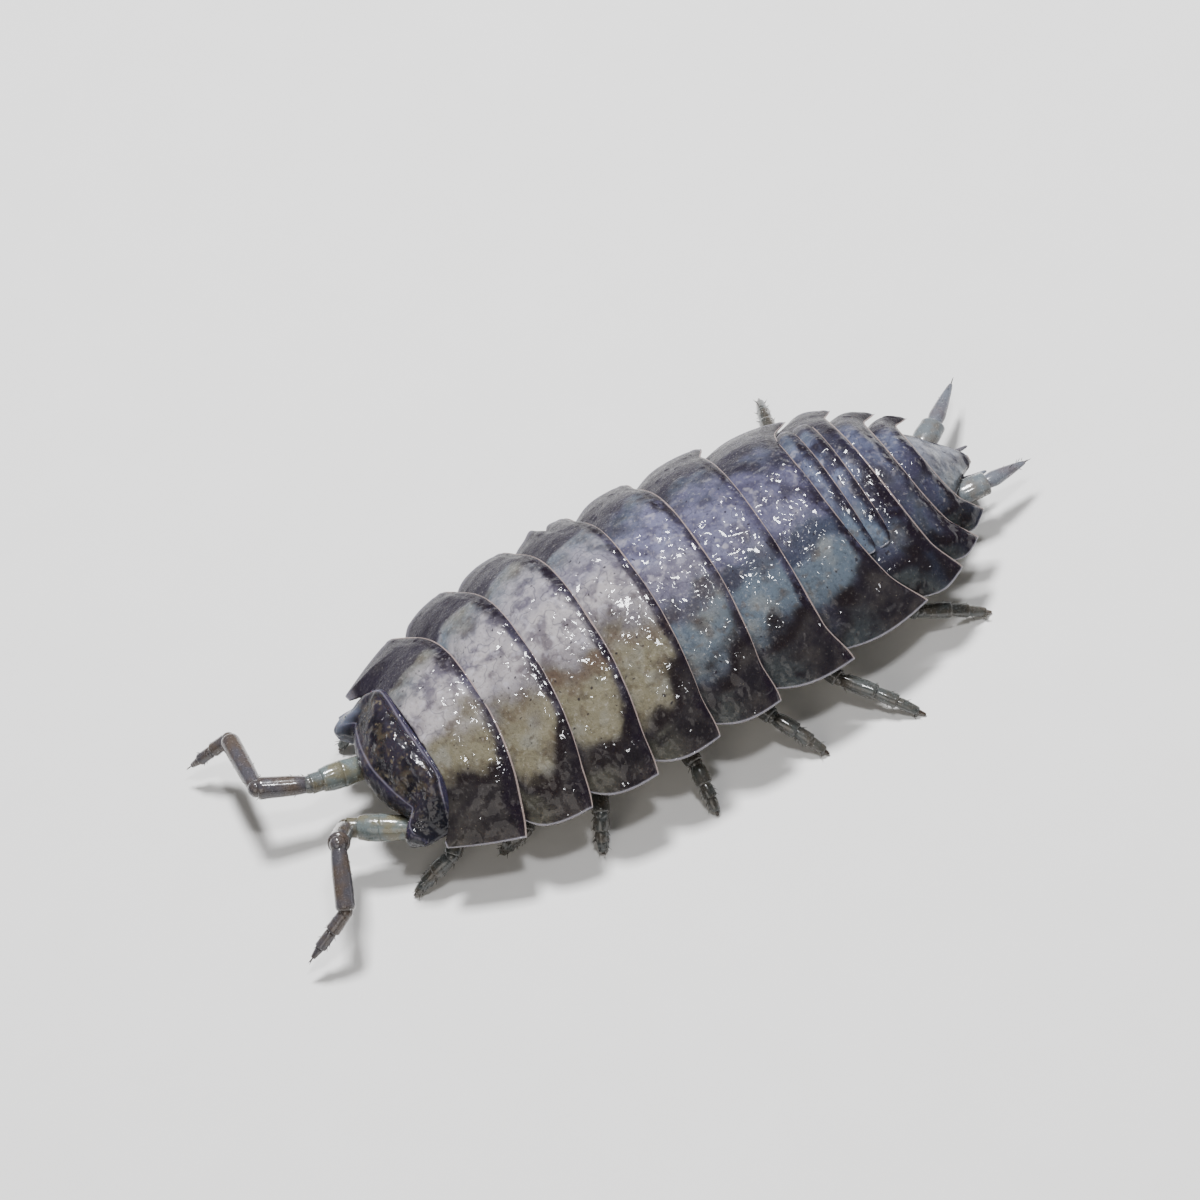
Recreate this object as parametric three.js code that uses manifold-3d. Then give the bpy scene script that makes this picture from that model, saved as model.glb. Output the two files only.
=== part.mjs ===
// Common shiny woodlouse (Oniscus asellus), a still life-size model standing on the floor.
// Millimetres. +Z is up, the head points along -Y, the animal's left side is +X, the feet stand on z = 0.

import * as THREE from 'three';
import { mergeVertices } from 'three/addons/utils/BufferGeometryUtils.js';
import Module from 'manifold-3d';

const wasm = await Module();
wasm.setup();

// Overall sizes
const CUT = 0.15;
const PLATE = 0.6;
const ARCH_STEPS = 26;
const ARCH_POWER = 2.2;
const FLARE = 0.4;
const FLARE_POWER = 4;
const POD_POWER = 2.6;
const POD_DROP = 0.02;
const SMALL_STEPS = 8;
const MARGIN_POWER = 3;
const HOOK_START = 0.78;
const STEP_DOWN = 0.14;
const STEP_IN = 0.1;
const CORNER_IN = 0.26;
const CORNER_POWER = 4;
const NECK_CORNER_IN = 0.04;
const SIDE_BULGE = 0.08;
const CROWN_SWELL = 0.03;
const RISE_POWER = 0.8;
const BELLY_Z = 0.86;
const BELLY_DROP = 0.05;

// Cross-section of a side plate and the trunk under it
const SIDE_PLATE = { edgeIn: 0.1, edgeDrop: 0.22, middleShare: 0.42, shelfDrop: 0.2 };
const TRUNK = { shoulderOut: 0.1, hipIn: 0.2, hipUp: 0.08, bellyShare: 0.5 };
const SHORT_PLATE = { edgeIn: 0.03, drop: 0.45 };

// Rear margins of the seven leg-bearing segments: y at the corners, how far the middle lies
// in front of the corners, how far the corner hooks backwards, half width at the corners,
// height of the edges, rise of the back over them, half width of the trunk; skew sets the left
// corner further back than the right one, as the tail turns a little
const PEREON_MARGINS = [
  { y: -4.49, lead: -0.68, hook: 0.05, half: 3.12, edge: 1.35, rise: 1.45, trunk: 1.6 },
  { y: -3.02, lead: -0.55, hook: 0.08, half: 3.4, edge: 1.5, rise: 1.62, trunk: 1.85 },
  { y: -1.51, lead: -0.41, hook: 0.12, half: 3.52, edge: 1.52, rise: 1.78, trunk: 1.95 },
  { y: 0.0, lead: -0.25, hook: 0.16, half: 3.48, edge: 1.55, rise: 1.8, trunk: 2.0 },
  { y: 1.47, lead: -0.2, hook: 0.2, half: 3.46, edge: 1.55, rise: 1.79, trunk: 2.0 },
  { y: 3.26, lead: 0.24, hook: 0.22, half: 3.39, edge: 1.45, rise: 1.84, trunk: 1.9 },
  { y: 5.18, lead: 0.8, hook: 0.15, skew: 0.08, half: 2.96, edge: 1.37, rise: 1.77, trunk: 1.7 },
];

// Front margin of the first segment, which holds the head
const SEAT = { y: -6.2, lead: -0.92, hook: 0, half: 2.36, edge: 1.35, power: 5.5, rise: 1.22, trunk: 1.35 };

// Tail segments: the first two are short and lie between the plates of the seventh leg segment
const PLEON_MARGINS = [
  { y: 5.02, lead: 0.22, hook: 0, half: 2.93, edge: 1.35, rise: 1.74, trunk: 1.5 },
  { y: 5.46, lead: 0.26, hook: 0, half: 2.85, edge: 1.35, rise: 1.7, trunk: 1.45 },
  { y: 6.15, lead: 0.53, hook: 0.14, skew: 0.13, half: 2.65, edge: 1.35, rise: 1.6, trunk: 1.35 },
  { y: 6.87, lead: 0.67, hook: 0.14, skew: 0.09, half: 2.08, edge: 1.22, rise: 1.43, trunk: 1.15 },
  { y: 7.34, lead: 0.59, hook: 0.12, skew: 0.07, half: 1.54, edge: 1.24, rise: 1.11, trunk: 0.9 },
];
const SHORT_HALF = 1.9;
const WING_HALF = 3.14;
const HORN_START = 2.14;
const HORN_END = 2.34;
const PLEON_BELLY_Z = 1.0;
const TELSON_TIP_Y = 7.85;

// Head
const HEAD_FRONT_Y = -6.66;
const BROW_SWEEP = 0.2;
const LOBE = { start: 1.3, full: 1.62, turn: 1.7, reach: 0.3, fall: 0.28 };
const HEAD_HALF = 2.02;
const EYE = { x: 1.72, y: -6.2, z: 1.5, radius: 0.25, socket: 0.37 };

// Legs: where each leaves the trunk, where it passes the plate's edge, where it stands
const LEG_ROOT_Z = 1.2;
const LEG_EDGE_Z = 0.7;
const LEG_SHIN_Z = 0.3;
const LEG_RADII = [0.31, 0.27, 0.26, 0.19];
const FOOT_RADIUS = 0.17;
const LEG_SIDES = 8;
const LEG_ROOT_SHARE = 0.4;
const LEG_ROOT_GAP = 0.19;
const SHIN_SHARE = 0.74;
const LEFT_LEGS = [
  { rootY: -4.85, rootZ: 1.1, edge: [2.13, -5.9], foot: [2.03, -6.94] },
  { rootY: -3.65, edge: [2.5, -4.35], foot: [2.2, -4.95] },
  { rootY: -2.2, edge: [3.1, -2.85], foot: [3.5, -3.18] },
  { rootY: -0.75, edge: [3.16, -0.62], foot: [4.1, -0.74] },
  { rootY: 0.8, edge: [3.1, 1.27], foot: [4.15, 1.91] },
  { rootY: 2.35, edge: [3.1, 2.88], foot: [4.5, 4.05] },
  { rootY: 4.05, edge: [2.62, 5.1], foot: [3.06, 6.48] },
];
const RIGHT_LEGS = [
  { rootY: -4.85, rootZ: 1.1, edge: [2.2, -5.75], foot: [2.25, -6.55] },
  { rootY: -3.65, edge: [2.75, -4.3], foot: [3.1, -4.75] },
  { rootY: -2.2, edge: [3.0, -2.6], foot: [3.75, -2.7] },
  { rootY: -0.75, edge: [3.1, -0.75], foot: [3.95, -0.95] },
  { rootY: 0.8, edge: [3.1, 1.1], foot: [4.0, 1.4] },
  { rootY: 2.35, edge: [3.05, 2.8], foot: [4.1, 3.45] },
  { rootY: 4.05, edge: [3.1, 4.75], foot: [4.9, 5.22] },
];

// Feelers: joints from the head outwards, with the radius on each side of every joint
const LEFT_FEELER = [
  { at: [1.12, -6.64, 1.08], radius: 0.26 },
  { at: [0.5, -7.48, 1.2], radius: 0.28 },
  { at: [1.37, -7.89, 2.0], radius: 0.26 },
  { at: [2.42, -8.44, 1.25], radius: 0.23 },
  { at: [2.47, -9.46, 0.5], radius: 0.12 },
];
const RIGHT_FEELER = [
  { at: [-0.78, -6.73, 1.05], radius: 0.26 },
  { at: [-0.87, -7.62, 1.3], radius: 0.28 },
  { at: [-1.31, -8.62, 1.5], radius: 0.26 },
  { at: [-3.04, -8.5, 1.2], radius: 0.23 },
  { at: [-3.44, -9.39, 0.5], radius: 0.12 },
];
const FEELER_NAMES = ['base', 'fourth', 'fifth', 'lash'];
const FEELER_SWELL = [1.18, 1.0, 0.98, 1.0];
const FEELER_WIDEST = 0.4;
const FEELER_SIDES = 9;

// Tail limbs
const UROPOD_RADII = { stump: 0.27, base: 0.24, widest: 0.22, tip: 0.09 };
const UROPOD_WIDEST = 0.35;
const UROPOD_SIDES = 8;
const UROPODS = {
  left: { root: [0.72, 7.3, 1.02], joint: [0.78, 7.86, 0.98], tip: [0.67, 8.83, 0.8] },
  right: { root: [-0.82, 7.26, 1.02], joint: [-1.26, 7.72, 0.98], tip: [-2.1, 8.6, 0.8] },
};

// Colours
const SHELL = new THREE.Color('#77778a');
const HEAD_SHELL = new THREE.Color('#4a4958');
const TAIL_SHELL = new THREE.Color('#5f5c72');
const PALE_LIMB = new THREE.Color('#a9b0b4');
const EYE_BLACK = new THREE.Color('#0d0c10');
const UNDER_PALE = new THREE.Color('#b9b8ab');

const group = new THREE.Group();

function addMesh(name, geometry, colour, roughness = 0.3) {
  const material = new THREE.MeshStandardMaterial({ color: colour, roughness, metalness: 0 });
  const mesh = new THREE.Mesh(geometry, material);
  mesh.name = name;
  group.add(mesh);
}

function mix(a, b, t) {
  return a + (b - a) * t;
}

// y of a rear margin at any x
function marginY(margin, x) {
  const across = Math.min(1, Math.abs(x) / margin.half);
  const sweep = (margin.lead - margin.hook) * (1 - across ** (margin.power ?? MARGIN_POWER));
  const hooked = margin.hook * (1 - THREE.MathUtils.smoothstep(across, HOOK_START, 1));
  return margin.y - sweep - hooked + (margin.skew ?? 0) * (x / margin.half);
}

// Points over an arch, from the left edge across to the right edge
function archPoints(half, roof, steps) {
  return Array.from({ length: steps + 1 }, (_, k) => {
    const x = half * Math.sin((1 - (2 * k) / steps) * (Math.PI / 2));
    return [x, roof(x)];
  });
}

// Points along the underside, from the left edge across to the right edge
function underPoints(half, lowest) {
  const right = half.map(([x, z]) => [-x, z]).reverse();
  return [...half, [0, lowest], ...right];
}

// Height of the back over its edges as a share of the rise: an arch whose sides flare out at the edges
function archShare(across) {
  return (1 - across ** ARCH_POWER) * (1 - FLARE * across ** FLARE_POWER);
}

// Outline of half the trunk, from under the side plate to the belly
function trunkPoints(s, roof) {
  const shoulder = s.trunk + TRUNK.shoulderOut;
  const shoulderZ = roof(shoulder) - PLATE;
  return [
    [shoulder, shoulderZ],
    [s.trunk, mix(s.belly, shoulderZ, 0.5)],
    [s.trunk - TRUNK.hipIn, s.belly + TRUNK.hipUp],
    [s.trunk * TRUNK.bellyShare, s.belly],
  ];
}

// Cross-section of a segment: the arched back, the side plates and the trunk between them
function plateRing(s) {
  const roof = (x) => s.edge + s.rise * archShare(Math.abs(x) / s.half);
  const middle = mix(s.half, s.trunk, SIDE_PLATE.middleShare);
  const half = [
    [s.half - SIDE_PLATE.edgeIn, s.edge - SIDE_PLATE.edgeDrop],
    [middle, Math.max(roof(middle) - PLATE, s.edge - SIDE_PLATE.shelfDrop)],
    ...trunkPoints(s, roof),
  ];
  return { top: archPoints(s.half, roof, ARCH_STEPS), under: underPoints(half, s.belly - BELLY_DROP) };
}

// Cross-section without side plates, as in the head
function podRing(s) {
  const roof = (x) => s.edge + s.rise * (1 - (Math.abs(x) / s.half) ** POD_POWER);
  const half = [
    [s.half * 0.95, mix(s.edge, s.belly, 0.45)],
    [s.half * 0.78, mix(s.edge, s.belly, 0.85)],
    [s.half * 0.45, s.belly],
  ];
  const top = archPoints(s.half, roof, s.steps ?? ARCH_STEPS);
  return { top, under: underPoints(half, s.belly - POD_DROP) };
}

// Triangles that close the end of a solid in narrow strips between the arch and the underside
function endTriangles(ring) {
  const triangles = [];
  const last = ring.top.length + ring.under.length - 1;
  let i = 0;
  let j = 0;
  while (i + 1 < ring.top.length || j + 1 < ring.under.length) {
    const topX = i + 1 < ring.top.length ? ring.top[i + 1][0] : -Infinity;
    const underX = j + 1 < ring.under.length ? ring.under[j + 1][0] : -Infinity;
    if (topX >= underX) {
      triangles.push([i, i + 1, last - j]);
      i += 1;
    } else {
      triangles.push([i, last - j - 1, last - j]);
      j += 1;
    }
  }
  return triangles;
}

// A closed solid through cross-sections, front to back; y follows the two margins
function loft(stations, ringOf, frontY, backY) {
  const rings = stations.map((s) => ringOf(s));
  const count = rings[0].top.length + rings[0].under.length;
  const positions = [];
  rings.forEach((ring, j) => {
    const v = stations[j].v;
    const shift = stations[j].shift ?? (() => 0);
    [...ring.top, ...ring.under.slice().reverse()].forEach(([x, z]) => {
      const placed = x + shift(x / stations[j].half);
      positions.push(placed, mix(frontY(x), backY(x), v), z);
    });
  });
  const index = [];
  for (let j = 0; j + 1 < rings.length; j++) {
    for (let k = 0; k < count; k++) {
      const a = j * count + k;
      const b = j * count + ((k + 1) % count);
      index.push(a, a + count, b + count, a, b + count, b);
    }
  }
  const last = (rings.length - 1) * count;
  endTriangles(rings[0]).forEach(([a, b, c]) => index.push(a, b, c));
  endTriangles(rings[rings.length - 1]).forEach(([a, b, c]) => index.push(last + a, last + c, last + b));
  const geometry = new THREE.BufferGeometry();
  geometry.setAttribute('position', new THREE.Float32BufferAttribute(positions, 3));
  geometry.setIndex(index);
  return geometry;
}

// Shares of a segment's length where its cross-sections stand
const SEGMENT_SHARES = [0, 0.22, 0.55, 0.86, 1];

// One segment between its front margin and its rear margin
function segment(front, back, options = {}) {
  const shares = options.shares ?? SEGMENT_SHARES;
  const belly = options.belly ?? [BELLY_Z, BELLY_Z];
  const cornerIn = options.cornerIn ?? CORNER_IN;
  const stations = shares.map((v) => ({
    v,
    half: mix(front.half - STEP_IN, back.half, v) - cornerIn * (1 - v) ** CORNER_POWER
      + SIDE_BULGE * Math.sin(Math.PI * v),
    rise: mix(front.rise - STEP_DOWN, back.rise, v ** RISE_POWER) + CROWN_SWELL * Math.sin(Math.PI * v),
    edge: mix(front.edge, back.edge, v),
    trunk: mix(front.trunk, back.trunk, v),
    belly: mix(belly[0], belly[1], v),
    shift: options.shift?.(v),
  }));
  const frontY = options.frontY ?? ((x) => marginY(front, x) + CUT);
  return loft(stations, plateRing, frontY, (x) => marginY(back, x));
}

// The old injury: the fourth segment's right plate is split into two lobes
const SCAR_SHARES = [0, 0.22, 0.5, 0.6, 0.7, 0.86, 1];
const SCAR = {
  lobe: 0.12, lobeAt: 0.5, lobeWidth: 0.12, cleft: 0.34, cleftAt: 0.62, cleftWidth: 0.07, power: 8,
};
function scarShift(v) {
  const lobe = SCAR.lobe * Math.exp(-(((v - SCAR.lobeAt) / SCAR.lobeWidth) ** 2));
  const cleft = SCAR.cleft * Math.exp(-(((v - SCAR.cleftAt) / SCAR.cleftWidth) ** 2));
  return (u) => (u < 0 ? (cleft - lobe) * Math.abs(u) ** SCAR.power : 0);
}

PEREON_MARGINS.forEach((margin, i) => {
  const front = i === 0 ? SEAT : PEREON_MARGINS[i - 1];
  const options = i === 3 ? { shares: SCAR_SHARES, shift: scarShift } : {};
  if (i === 0) {
    options.frontY = (x) => marginY(SEAT, x);
    options.cornerIn = NECK_CORNER_IN;
  }
  addMesh(`pereonite_${i + 1}`, segment(front, margin, options), SHELL);
});

// Tail segments
const lastLegMargin = PEREON_MARGINS[PEREON_MARGINS.length - 1];
const hornY = (x) => {
  const inside = marginY(PLEON_MARGINS[1], x) + CUT;
  const outside = marginY(lastLegMargin, x) + CUT;
  return mix(inside, outside, THREE.MathUtils.smoothstep(Math.abs(x), HORN_START, HORN_END));
};

// Cross-section of a short tail segment, which ends in upright flanks between the wings of the third
function shortRing(s) {
  const roof = (x) => s.edge + s.rise * archShare(Math.abs(x) / s.half);
  const half = [
    [SHORT_HALF - SHORT_PLATE.edgeIn, roof(SHORT_HALF) - SHORT_PLATE.drop],
    ...trunkPoints(s, roof),
  ];
  return { top: archPoints(SHORT_HALF, roof, ARCH_STEPS), under: underPoints(half, s.belly - BELLY_DROP) };
}

function shortSegment(front, back) {
  const stations = [0, 0.5, 1].map((v) => ({
    v,
    half: mix(front.half, back.half, v),
    rise: mix(front.rise - STEP_DOWN, back.rise, v),
    edge: mix(front.edge, back.edge, v),
    trunk: back.trunk,
    belly: PLEON_BELLY_Z,
  }));
  return loft(stations, shortRing, (x) => marginY(front, x) + CUT, (x) => marginY(back, x));
}

const [tailOne, tailTwo, tailThree, tailFour, tailFive] = PLEON_MARGINS;
addMesh('pleonite_1', shortSegment(lastLegMargin, tailOne), TAIL_SHELL);
addMesh('pleonite_2', shortSegment(tailOne, tailTwo), TAIL_SHELL);
const tailBelly = { belly: [PLEON_BELLY_Z, PLEON_BELLY_Z] };
addMesh('pleonite_3', segment({ ...tailThree, half: WING_HALF, rise: tailTwo.rise }, tailThree,
  { ...tailBelly, frontY: hornY }), TAIL_SHELL);
addMesh('pleonite_4', segment(tailThree, tailFour, tailBelly), TAIL_SHELL);
addMesh('pleonite_5', segment(tailFour, tailFive, tailBelly), TAIL_SHELL);

// Tail tip: a pointed plate with hollow sides
const TELSON_SHARES = [
  { v: 0, half: 1.02, rise: 0.72, edge: 1.38 },
  { v: 0.22, half: 0.88, rise: 0.6, edge: 1.32 },
  { v: 0.45, half: 0.64, rise: 0.42, edge: 1.22 },
  { v: 0.7, half: 0.36, rise: 0.26, edge: 1.09 },
  { v: 1, half: 0.18, rise: 0.14, edge: 0.94 },
].map((s) => ({ ...s, belly: s.edge - 0.32, steps: SMALL_STEPS }));
addMesh('telson', loft(TELSON_SHARES, podRing, (x) => marginY(tailFive, x) + CUT,
  () => TELSON_TIP_Y), TAIL_SHELL);

// Sweep of round cross-sections along joints; each end lies in a plane of its own
function limb(joints, sides, startPlane, endPlane) {
  const points = joints.map((j) => new THREE.Vector3(...j.at));
  const along = points.slice(1).map((p, i) => p.clone().sub(points[i]).normalize());
  const side = new THREE.Vector3(0, 0, 1).cross(along[0]).normalize();
  const positions = [];
  points.forEach((p, i) => {
    const before = along[Math.max(0, i - 1)];
    const after = along[Math.min(along.length - 1, i)];
    const direction = before.clone().add(after).normalize();
    side.addScaledVector(direction, -side.dot(direction)).normalize();
    const up = direction.clone().cross(side);
    const plane = i === 0 ? startPlane : i === points.length - 1 ? endPlane : null;
    for (let k = 0; k < sides; k++) {
      const angle = (2 * Math.PI * k) / sides;
      const q = p.clone()
        .addScaledVector(side, joints[i].radius * Math.cos(angle))
        .addScaledVector(up, joints[i].radius * Math.sin(angle));
      if (plane) {
        const slide = plane.distanceToPoint(q) / plane.normal.dot(direction);
        q.addScaledVector(direction, -slide);
      }
      positions.push(q.x, q.y, q.z);
    }
  });
  const index = [];
  for (let i = 0; i + 1 < points.length; i++) {
    for (let k = 0; k < sides; k++) {
      const a = i * sides + k;
      const b = i * sides + ((k + 1) % sides);
      index.push(a, b, b + sides, a, b + sides, a + sides);
    }
  }
  const last = (points.length - 1) * sides;
  for (let k = 1; k + 1 < sides; k++) {
    index.push(0, k + 1, k);
    index.push(last, last + k, last + k + 1);
  }
  const geometry = new THREE.BufferGeometry();
  geometry.setAttribute('position', new THREE.Float32BufferAttribute(positions, 3));
  geometry.setIndex(index);
  return geometry;
}

function planeThrough(point, normal) {
  return new THREE.Plane().setFromNormalAndCoplanarPoint(normal, point);
}

// Legs
const FLOOR = new THREE.Plane(new THREE.Vector3(0, 0, 1), 0);
function addLegs(legs, sign, sideName) {
  legs.forEach((leg, i) => {
    const ahead = i === 0 ? SEAT : PEREON_MARGINS[i - 1];
    const rootX = mix(PEREON_MARGINS[i].trunk, ahead.trunk, LEG_ROOT_SHARE) + LEG_ROOT_GAP;
    const root = [sign * rootX, leg.rootY, leg.rootZ ?? LEG_ROOT_Z];
    const knee = [sign * leg.edge[0], leg.edge[1], LEG_EDGE_Z];
    const foot = [sign * leg.foot[0], leg.foot[1], 0];
    const shin = [mix(knee[0], foot[0], SHIN_SHARE), mix(knee[1], foot[1], SHIN_SHARE), LEG_SHIN_Z];
    const joints = [root, knee, shin, foot].map((at, k) => ({ at, radius: LEG_RADII[k] }));
    joints[3].radius = FOOT_RADIUS;
    const wall = planeThrough(new THREE.Vector3(...root), new THREE.Vector3(sign, 0, 0));
    addMesh(`leg_${sideName}_${i + 1}`, limb(joints, LEG_SIDES, wall, FLOOR), PALE_LIMB);
  });
}
addLegs(LEFT_LEGS, 1, 'left');
addLegs(RIGHT_LEGS, -1, 'right');

// Feelers, mitred at every joint
function addFeeler(chain, sideName) {
  const points = chain.map((c) => new THREE.Vector3(...c.at));
  const headFace = planeThrough(points[0], new THREE.Vector3(0, -1, 0));
  FEELER_NAMES.forEach((part, i) => {
    const from = points[i];
    const to = points[i + 1];
    const direction = to.clone().sub(from).normalize();
    const mitre = (joint, other) => {
      const normal = direction.clone().add(other).normalize();
      return { normal, joint };
    };
    let start = headFace;
    if (i > 0) {
      const { normal, joint } = mitre(from, from.clone().sub(points[i - 1]).normalize());
      start = planeThrough(joint.clone().addScaledVector(normal, CUT / 2), normal);
    }
    let end = planeThrough(to, direction);
    if (i < FEELER_NAMES.length - 1) {
      const { normal, joint } = mitre(to, points[i + 2].clone().sub(to).normalize());
      end = planeThrough(joint.clone().addScaledVector(normal, -CUT / 2), normal);
    }
    const swell = chain[i + 1].radius * FEELER_SWELL[i];
    const joints = [
      { at: from.toArray(), radius: chain[i].radius },
      { at: from.clone().lerp(to, FEELER_WIDEST).toArray(), radius: Math.max(swell, chain[i].radius) },
      { at: to.toArray(), radius: chain[i + 1].radius },
    ];
    addMesh(`feeler_${sideName}_${part}`, limb(joints, FEELER_SIDES, start, end), PALE_LIMB);
  });
}
addFeeler(LEFT_FEELER, 'left');
addFeeler(RIGHT_FEELER, 'right');

// Tail limbs: a stout root and a long outer branch
for (const [sideName, tail] of Object.entries(UROPODS)) {
  const root = new THREE.Vector3(...tail.root);
  const joint = new THREE.Vector3(...tail.joint);
  const tip = new THREE.Vector3(...tail.tip);
  const first = joint.clone().sub(root).normalize();
  const second = tip.clone().sub(joint).normalize();
  const bend = first.clone().add(second).normalize();
  const stump = [
    { at: tail.root, radius: UROPOD_RADII.stump },
    { at: tail.joint, radius: UROPOD_RADII.stump },
  ];
  addMesh(`uropod_${sideName}_root`, limb(stump, UROPOD_SIDES, planeThrough(root, first),
    planeThrough(joint.clone().addScaledVector(bend, -CUT / 2), bend)), PALE_LIMB);
  const branch = [
    { at: tail.joint, radius: UROPOD_RADII.base },
    { at: joint.clone().lerp(tip, UROPOD_WIDEST).toArray(), radius: UROPOD_RADII.widest },
    { at: tail.tip, radius: UROPOD_RADII.tip },
  ];
  const branchStart = planeThrough(joint.clone().addScaledVector(bend, CUT / 2), bend);
  const outer = limb(branch, UROPOD_SIDES, branchStart, planeThrough(tip, second));
  addMesh(`uropod_${sideName}_outer`, outer, PALE_LIMB);
}

// Manifold solid of a geometry
function toSolid(geometry) {
  const bare = geometry.clone();
  bare.deleteAttribute('normal');
  bare.deleteAttribute('uv');
  const merged = mergeVertices(bare, 1e-4);
  return new wasm.Manifold(new wasm.Mesh({
    numProp: 3,
    vertProperties: new Float32Array(merged.attributes.position.array),
    triVerts: new Uint32Array(merged.index.array),
  }));
}

function toGeometry(solid) {
  const mesh = solid.getMesh();
  const geometry = new THREE.BufferGeometry();
  geometry.setAttribute('position', new THREE.BufferAttribute(mesh.vertProperties, 3));
  geometry.setIndex(new THREE.BufferAttribute(mesh.triVerts, 1));
  return geometry;
}

// Head: low brow in front, raised rim at the back, side lobes in front of the eyes
const HEAD_SHARES = [
  { v: 0, half: 1.86, rise: 0.5, edge: 1.2 },
  { v: 0.14, half: HEAD_HALF, rise: 0.72, edge: 1.26 },
  { v: 0.34, half: HEAD_HALF - 0.03, rise: 1.0, edge: 1.24 },
  { v: 0.58, half: 1.95, rise: 1.2, edge: 1.22 },
  { v: 0.8, half: 1.9, rise: 1.26, edge: 1.2 },
  { v: 0.9, half: 1.9, rise: 1.36, edge: 1.2 },
  { v: 1, half: 1.86, rise: 1.3, edge: 1.2 },
].map((s) => ({ ...s, belly: BELLY_Z }));
const headFrontY = (x) => {
  const across = Math.abs(x);
  const brow = HEAD_FRONT_Y + BROW_SWEEP * Math.min(across, LOBE.start) ** 2;
  const out = LOBE.reach * THREE.MathUtils.smoothstep(across, LOBE.start, LOBE.full);
  const back = LOBE.fall * THREE.MathUtils.smoothstep(across, LOBE.turn, HEAD_HALF);
  return brow - out + back;
};
const headBackY = (x) => marginY(SEAT, x) - CUT;
let head = toSolid(loft(HEAD_SHARES, podRing, headFrontY, headBackY));
for (const [sideName, sign] of [['left', 1], ['right', -1]]) {
  const ball = (radius) => {
    const sphere = new THREE.SphereGeometry(radius, 14, 10);
    return sphere.translate(sign * EYE.x, EYE.y, EYE.z);
  };
  head = head.subtract(toSolid(ball(EYE.socket)));
  addMesh(`eye_${sideName}`, ball(EYE.radius), EYE_BLACK, 0.15);
}
addMesh('head', toGeometry(head), HEAD_SHELL);

// Mouthparts and the gill plates under the tail
const MOUTH_PAD = [
  { v: 0, y: -6.45, half: 0.55, rise: 0.06, edge: 0.62, depth: 0.12 },
  { v: 0.5, half: 0.75, rise: 0.08, edge: 0.62, depth: 0.22 },
  { v: 1, y: -5.6, half: 0.6, rise: 0.08, edge: 0.62, depth: 0.14 },
];
const GILL_PAD = [
  { v: 0, y: 5.2, half: 1.25, rise: 0.1, edge: 0.7, depth: 0.16 },
  { v: 0.5, half: 1.1, rise: 0.1, edge: 0.7, depth: 0.2 },
  { v: 1, y: 6.9, half: 0.7, rise: 0.1, edge: 0.7, depth: 0.14 },
];
function pad(stations) {
  const rings = stations.map((s) => ({ ...s, belly: s.edge - s.depth, steps: SMALL_STEPS }));
  return loft(rings, podRing, () => stations[0].y, () => stations[stations.length - 1].y);
}
addMesh('mouthparts', pad(MOUTH_PAD), UNDER_PALE, 0.5);
addMesh('pleopods', pad(GILL_PAD), UNDER_PALE, 0.5);

// Life size in the common frame: the middle of the box stands over the origin
const box = new THREE.Box3().setFromObject(group);
group.position.set(-(box.min.x + box.max.x) / 2, -(box.min.y + box.max.y) / 2, 0);
group.updateMatrixWorld(true);

export default group;
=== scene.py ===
"""Common shiny woodlouse, dressed over its solids: thin overlapping back plates, grained head,
bent feelers, fourteen jointed legs and a forked tail, photographed on a pale studio floor."""
import bpy
import math
import random
import numpy as np
from mathutils import Matrix, Vector


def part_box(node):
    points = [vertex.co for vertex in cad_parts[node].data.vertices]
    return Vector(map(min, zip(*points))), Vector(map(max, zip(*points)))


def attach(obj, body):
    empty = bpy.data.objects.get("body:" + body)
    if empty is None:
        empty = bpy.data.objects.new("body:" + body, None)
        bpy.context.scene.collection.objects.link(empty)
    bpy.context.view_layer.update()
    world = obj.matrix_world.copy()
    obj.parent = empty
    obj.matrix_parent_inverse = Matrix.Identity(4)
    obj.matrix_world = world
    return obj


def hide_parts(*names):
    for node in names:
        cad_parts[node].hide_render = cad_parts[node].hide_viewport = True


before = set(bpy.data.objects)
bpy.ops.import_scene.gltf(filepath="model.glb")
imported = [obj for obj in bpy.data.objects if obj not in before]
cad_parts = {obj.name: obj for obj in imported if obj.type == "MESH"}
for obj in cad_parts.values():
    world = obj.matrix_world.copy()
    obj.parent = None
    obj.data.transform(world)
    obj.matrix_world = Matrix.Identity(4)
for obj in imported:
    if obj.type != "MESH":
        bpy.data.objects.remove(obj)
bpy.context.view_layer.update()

MM = 0.001

# The animal's own axes: head towards -Y, its left side +X, up +Z, in millimetres.
# The library's frame puts the middle of the box over the origin, which moves it by this much.
EYE_AT = (1.72, -6.2, 1.5)
left_eye_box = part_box("eye_left")
SHIFT = np.array([(left_eye_box[0][k] + left_eye_box[1][k]) / 2 / MM - EYE_AT[k] for k in range(3)])

# ---- sizes taken from the photo, as in the solids, in millimetres
# how far a plate's front starts below and inside the margin of the plate before it
STEP_DOWN = 0.11
STEP_IN = 0.1
# how much its front corners are rounded off, which is less on the plate behind the head
CORNER_IN = 0.26
NECK_CORNER_IN = 0.04
# how far its sides bulge between front and rear
SIDE_BULGE = 0.08
# the arch across the back, and how its sides flare out
ARCH_POWER = 2.2
FLARE = 0.4
FLARE_POWER = 4
# where across the half width a rear corner starts to hook back
HOOK_START = 0.78
BELLY_Z = 0.86

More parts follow.
